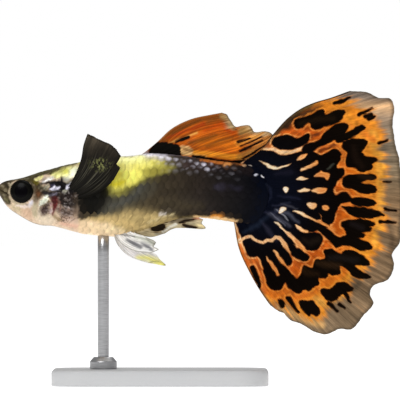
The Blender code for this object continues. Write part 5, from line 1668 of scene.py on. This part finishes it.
def eye_piece(label, side, finish, iris):
    """A profile turned about the eye's axis: half ellipses, out by its bulge and in by its depth."""
    turn = np.linspace(-np.pi / 2, np.pi / 2, 66)[1:-1]
    ring = EYE_RADIUS * np.cos(turn)
    out = np.where(turn > 0, EYE_BULGE, EYE_DEPTH) * np.sin(turn)
    angle = np.linspace(0, 2 * np.pi, 96, endpoint=False)
    along, up = ring[:, None] * np.cos(angle), ring[:, None] * np.sin(angle)
    out = out[:, None] + 0 * angle
    share = np.hypot(along, up) / EYE_RADIUS
    tilt, yaw = np.radians(EYE_TILT_DEG), np.radians(EYE_YAW_DEG)
    out, up = out * np.cos(tilt) - up * np.sin(tilt), out * np.sin(tilt) + up * np.cos(tilt)
    along, out = along * np.cos(yaw) - out * np.sin(yaw), along * np.sin(yaw) + out * np.cos(yaw)
    rings = np.stack([along + EYE_CENTRE[0], side * (out + EYE_RIM_OFFSET), up + EYE_CENTRE[1]], axis=-1)
    if side > 0:
        rings = rings[:, ::-1]
        share = share[:, ::-1]
    fleck = cloud(np.cos(angle) * 6 + 20, np.sin(angle) * 6 + 20, 91) * np.ones_like(share)
    colours = all_over((3, 2, 4), share.size)
    colours = blend_in(colours, iris * 0.45, rise(0.56, 0.62, share).ravel())
    inner = 0.5 * rise(0.6, 0.66, share) * rise(0.8, 0.68, share)
    colours = blend_in(colours, iris, inner.ravel())
    colours = blend_in(colours, iris * 1.5, (rise(0.93, 0.97, share) * (0.6 + 0.4 * fleck)).ravel())
    return tube_piece(f"eye_lens_{label}", rings, finish, {"Markings": colours})


def make_fins(context, membrane, size, rays, fins):
    """Like fins of one membrane, each from its piece's name, plan, way sideways, node and painter."""
    settings, finish = context.scene.guppy_fins, fin_finish(*membrane)
    for name, plan, sideways, node, painter in fins:
        fin_piece(name, plan, sideways, node, finish, painter, size, rays, settings.half_wall / MM,
                  settings.ray_relief / MM)
    return {"FINISHED"}


class GUPPY_OT_tail_fin(bpy.types.Operator):
    """Make the fan of the tail"""

    bl_idname = "guppy.tail_fin"
    bl_label = "Tail fin"

    def execute(self, context):
        membrane, size = ("Tail_membrane", 0.42, 0.55, 0.42), (300, 156, 52.0, 16.0)
        fan = ("tail_fan", CAUDAL, caudal_sideways, "fin_caudal", paint_tail)
        return make_fins(context, membrane, size, 17, [fan])


class GUPPY_OT_dorsal_fin(bpy.types.Operator):
    """Make the fin on the back"""

    bl_idname = "guppy.dorsal_fin"
    bl_label = "Dorsal fin"

    def execute(self, context):
        membrane, size = ("Dorsal_membrane", 0.4, 0.45, 0.4), (180, 120, 14.0, 9.0)
        sail = ("dorsal_sail", DORSAL, dorsal_sideways, "fin_dorsal", paint_dorsal)
        return make_fins(context, membrane, size, 9, [sail])


class GUPPY_OT_anal_fin(bpy.types.Operator):
    """Make the fin behind the vent"""

    bl_idname = "guppy.anal_fin"
    bl_label = "Anal fin"

    def execute(self, context):
        membrane, size = ("Anal_membrane", 0.36, 0.4, 0.4), (110, 50, 6.0, 4.0)
        painter = paint_pale(ANAL_MARKS, ANAL_INK, ANAL_INK_LINES, (190, 174, 138), 61)
        return make_fins(context, membrane, size, 7,
                         [("anal_vane", ANAL, anal_sideways, "fin_anal", painter)])


class GUPPY_OT_chest_fins(bpy.types.Operator):
    """Make the two pectoral fins"""

    bl_idname = "guppy.chest_fins"
    bl_label = "Pectoral fins"

    def execute(self, context):
        membrane, size = ("Pectoral_membrane", 0.7, 0.4, 0.4), (110, 90, 7.0, 7.5)
        pair = [
            (f"pectoral_{label}", PECTORAL, pectoral_sideways(side), f"fin_pectoral_{label}", paint_pectoral)
            for label, side in (("left", -1), ("right", 1))
        ]
        return make_fins(context, membrane, size, 6, pair)


class GUPPY_OT_belly_fins(bpy.types.Operator):
    """Make the two pelvic fins"""

    bl_idname = "guppy.belly_fins"
    bl_label = "Pelvic fins"

    def execute(self, context):
        membrane, size = ("Pelvic_membrane", 0.3, 0.36, 0.36), (70, 60, 5.0, 5.0)
        sides = (("left", -1, PELVIC_LEFT, PELVIC_MARKS), ("right", 1, PELVIC_RIGHT, PELVIC_FAR_MARKS))
        pair = []
        for label, side, plan, marks in sides:
            painter = paint_pale(marks, (), (), (238, 235, 230), 65)
            pair.append((f"pelvic_{label}", plan, pelvic_sideways(side), f"fin_pelvic_{label}", painter))
        return make_fins(context, membrane, size, 5, pair)


class GUPPY_OT_stand(bpy.types.Operator):
    """Make the display stand: a lacquered base, a steel rod and its collar"""

    bl_idname = "guppy.stand"
    bl_label = "Stand"

    def execute(self, context):
        steel = steel_finish()
        base = base_piece(lacquer_finish(tuple(context.scene.guppy_stage.lacquer)))
        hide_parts("stand_base")
        rod = turned_piece("stand_post", ((ROD_RADIUS, ROD_FOOT), (ROD_RADIUS, ROD_TOP)), steel)
        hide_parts("stand_rod")
        collar = turned_piece("stand_ferrule", COLLAR_PROFILE, steel, ring=True)
        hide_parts("stand_collar")
        return {"FINISHED"}


def turned_piece(name, profile, finish, ring=False):
    """A profile of (radius, height) points turned about the rod's axis, each stretch in short steps."""
    profile = np.array(profile, float)
    stops = np.arange(len(profile))
    fine = np.sort(np.concatenate([np.linspace(0, len(profile) - 1, 6 * (len(profile) - 1) + 1),
                                   stops[1:-1] - 0.03, stops[1:-1] + 0.03]))
    radius, height = (np.interp(fine, stops, profile[:, axis])[:, None] for axis in range(2))
    angle = np.linspace(0, 2 * np.pi, 72, endpoint=False)
    across = ROD_BEHIND_SNOUT + radius * np.cos(angle), radius * np.sin(angle)
    rings = np.stack([*across, height + 0 * angle], axis=-1)
    return tube_piece(name, rings, finish, above_floor=True, closed=ring)


def base_piece(finish):
    """A slab with round corners: its outline carried up a profile of insets and heights, round at the top."""
    turn = np.linspace(0, np.pi / 2, BASE_CORNER_STEPS)
    angle = np.concatenate([turn + quarter * np.pi / 2 for quarter in range(4)])
    reach_x = np.repeat([1, -1, -1, 1], BASE_CORNER_STEPS) * (BASE_LENGTH / 2 - BASE_CORNER)
    reach_y = np.repeat([1, 1, -1, -1], BASE_CORNER_STEPS) * (BASE_WIDTH / 2 - BASE_CORNER)
    arc = np.linspace(0, np.pi / 2, 9)
    inset = np.concatenate([[BASE_FOOT_BEVEL, 0.0], BASE_BEVEL * (1 - np.cos(arc)), [1.2, 3.0]])
    height = np.concatenate([[0.0, BASE_FOOT_BEVEL], BASE_THICKNESS - BASE_BEVEL + BASE_BEVEL * np.sin(arc),
                             [BASE_THICKNESS, BASE_THICKNESS]])
    radius = BASE_CORNER - inset[:, None]
    rings = np.stack([BASE_BEHIND_SNOUT + reach_x + radius * np.cos(angle), reach_y + radius * np.sin(angle),
                      height[:, None] + 0 * angle], axis=-1)
    return tube_piece("stand_plinth", rings, finish, above_floor=True)


class GUPPY_OT_stage(bpy.types.Operator):
    """Set the stage: a wide pale floor, even light from all round, soft lamps and the camera"""

    bl_idname = "guppy.stage"
    bl_label = "Stage"

    def execute(self, context):
        settings = context.scene.guppy_stage
        scene = context.scene
        scene.view_settings.view_transform = "Standard"
        scene.world = bpy.data.worlds.new("Even light")
        scene.world.use_nodes = True
        light = Nodes(scene.world.node_tree, "Background")
        light.shader.inputs["Color"].default_value = (1, 1, 1, 1)
        seen = light.node("ShaderNodeLightPath", output="Is Camera Ray")
        values = {"Value": seen, "To Min": settings.surround}
        light.feed("Strength", light.node("ShaderNodeMapRange", None, values))
        add_floor()
        for name, place, size, share in LAMPS:
            add_lamp(name, place, size, share * settings.key)
        camera = bpy.data.cameras.new("Camera")
        camera.lens = settings.lens
        camera.sensor_width = SENSOR_WIDTH
        camera.clip_start = 0.01
        thing = bpy.data.objects.new("Camera", camera)
        width = 2 * PHOTO_MIDDLE / PHOTO_PER_MM * MM
        height = AXIS_Z + (PHOTO_AXIS_ROW - PHOTO_MIDDLE) / PHOTO_PER_MM * MM
        middle = SNOUT_X + (PHOTO_MIDDLE - PHOTO_SNOUT_COLUMN) / PHOTO_PER_MM * MM
        thing.location = (middle, -width * settings.lens / camera.sensor_width, height)
        thing.rotation_euler = (np.pi / 2, 0, 0)
        scene.collection.objects.link(thing)
        scene.camera = thing
        return {"FINISHED"}


def add_lamp(name, place, size, power):
    """A round soft lamp that faces the fish."""
    light = bpy.data.lights.new(name, "AREA")
    light.shape = "DISK"
    light.size = size
    light.energy = power
    lamp = bpy.data.objects.new(name, light)
    lamp.location = place
    aim = np.array((0, 0, AXIS_Z)) - np.array(place)
    lamp.rotation_euler = (np.arctan2(np.hypot(aim[0], aim[1]), -aim[2]), 0, np.arctan2(-aim[0], aim[1]))
    bpy.context.scene.collection.objects.link(lamp)


def add_floor():
    """A flat disc, in rings that widen outwards."""
    radius = np.geomspace(*FLOOR_SPAN, FLOOR_RINGS)[:, None]
    angle = np.linspace(0, 2 * np.pi, FLOOR_SIDES, endpoint=False)
    level = 0 * radius * angle - FLOOR_DROP
    rings = np.stack([radius * np.cos(angle), radius * np.sin(angle), level], axis=-1)
    corner = np.arange(FLOOR_RINGS * FLOOR_SIDES).reshape(FLOOR_RINGS, FLOOR_SIDES)
    corner = np.concatenate([corner, corner[:, :1]], axis=1)
    mesh = bpy.data.meshes.new("floor")
    mesh.from_pydata(rings.reshape(-1, 3).tolist(), [],
                     cells_of(corner).reshape(-1, 4).tolist() + [corner[0, :-1].tolist()])
    look = Finish("Floor", Specular_IOR_Level=0.1, Emission_Color=(1, 1, 1, 1), Emission_Strength=0.8)
    cast = look.noise(look.place(), 40.0, 2.0)
    look.feed("Base Color", look.ramp(cast, (0.6, 0.6, 0.6), (0.64, 0.64, 0.64)))
    look.feed("Roughness", 0.75 + 0.1 * cast)
    mesh.materials.append(look.material)
    floor = bpy.data.objects.new("floor", mesh)
    bpy.context.scene.collection.objects.link(floor)


class GUPPY_PT_panel(bpy.types.Panel):
    """The pieces of the guppy, in the order they are made"""

    bl_idname = "GUPPY_PT_panel"
    bl_label = "Guppy"
    bl_space_type = "VIEW_3D"
    bl_region_type = "UI"
    bl_category = "Guppy"

    def draw(self, context):
        for title, settings in (("Body", context.scene.guppy_body), ("Fins", context.scene.guppy_fins),
                                ("Stage", context.scene.guppy_stage)):
            box = self.layout.box()
            box.label(text=title)
            for label in settings.bl_rna.properties.keys():
                if label not in ("rna_type", "name"):
                    box.prop(settings, label)
        for operator in OPERATORS:
            self.layout.operator(operator.bl_idname)


OPERATORS = (
    GUPPY_OT_skin, GUPPY_OT_scales, GUPPY_OT_eyes, GUPPY_OT_tail_fin, GUPPY_OT_dorsal_fin, GUPPY_OT_anal_fin,
    GUPPY_OT_chest_fins, GUPPY_OT_belly_fins, GUPPY_OT_stand, GUPPY_OT_stage,
)
SETTINGS = (
    ("guppy_body", GuppyBodySettings), ("guppy_fins", GuppyFinSettings), ("guppy_stage", GuppyStageSettings),
)


def register():
    for label, group in SETTINGS:
        bpy.utils.register_class(group)
        setattr(bpy.types.Scene, label, bpy.props.PointerProperty(type=group))
    for kind in (*OPERATORS, GUPPY_PT_panel):
        bpy.utils.register_class(kind)


def unregister():
    for kind in reversed((*OPERATORS, GUPPY_PT_panel)):
        bpy.utils.unregister_class(kind)
    for label, group in reversed(SETTINGS):
        delattr(bpy.types.Scene, label)
        bpy.utils.unregister_class(group)


def main():
    register()
    bpy.ops.guppy.stage()
    bpy.ops.guppy.skin()
    bpy.ops.guppy.scales()
    bpy.ops.guppy.eyes()
    bpy.ops.guppy.tail_fin()
    bpy.ops.guppy.dorsal_fin()
    bpy.ops.guppy.anal_fin()
    bpy.ops.guppy.chest_fins()
    bpy.ops.guppy.belly_fins()
    bpy.ops.guppy.stand()


if __name__ == "__main__":
    main()
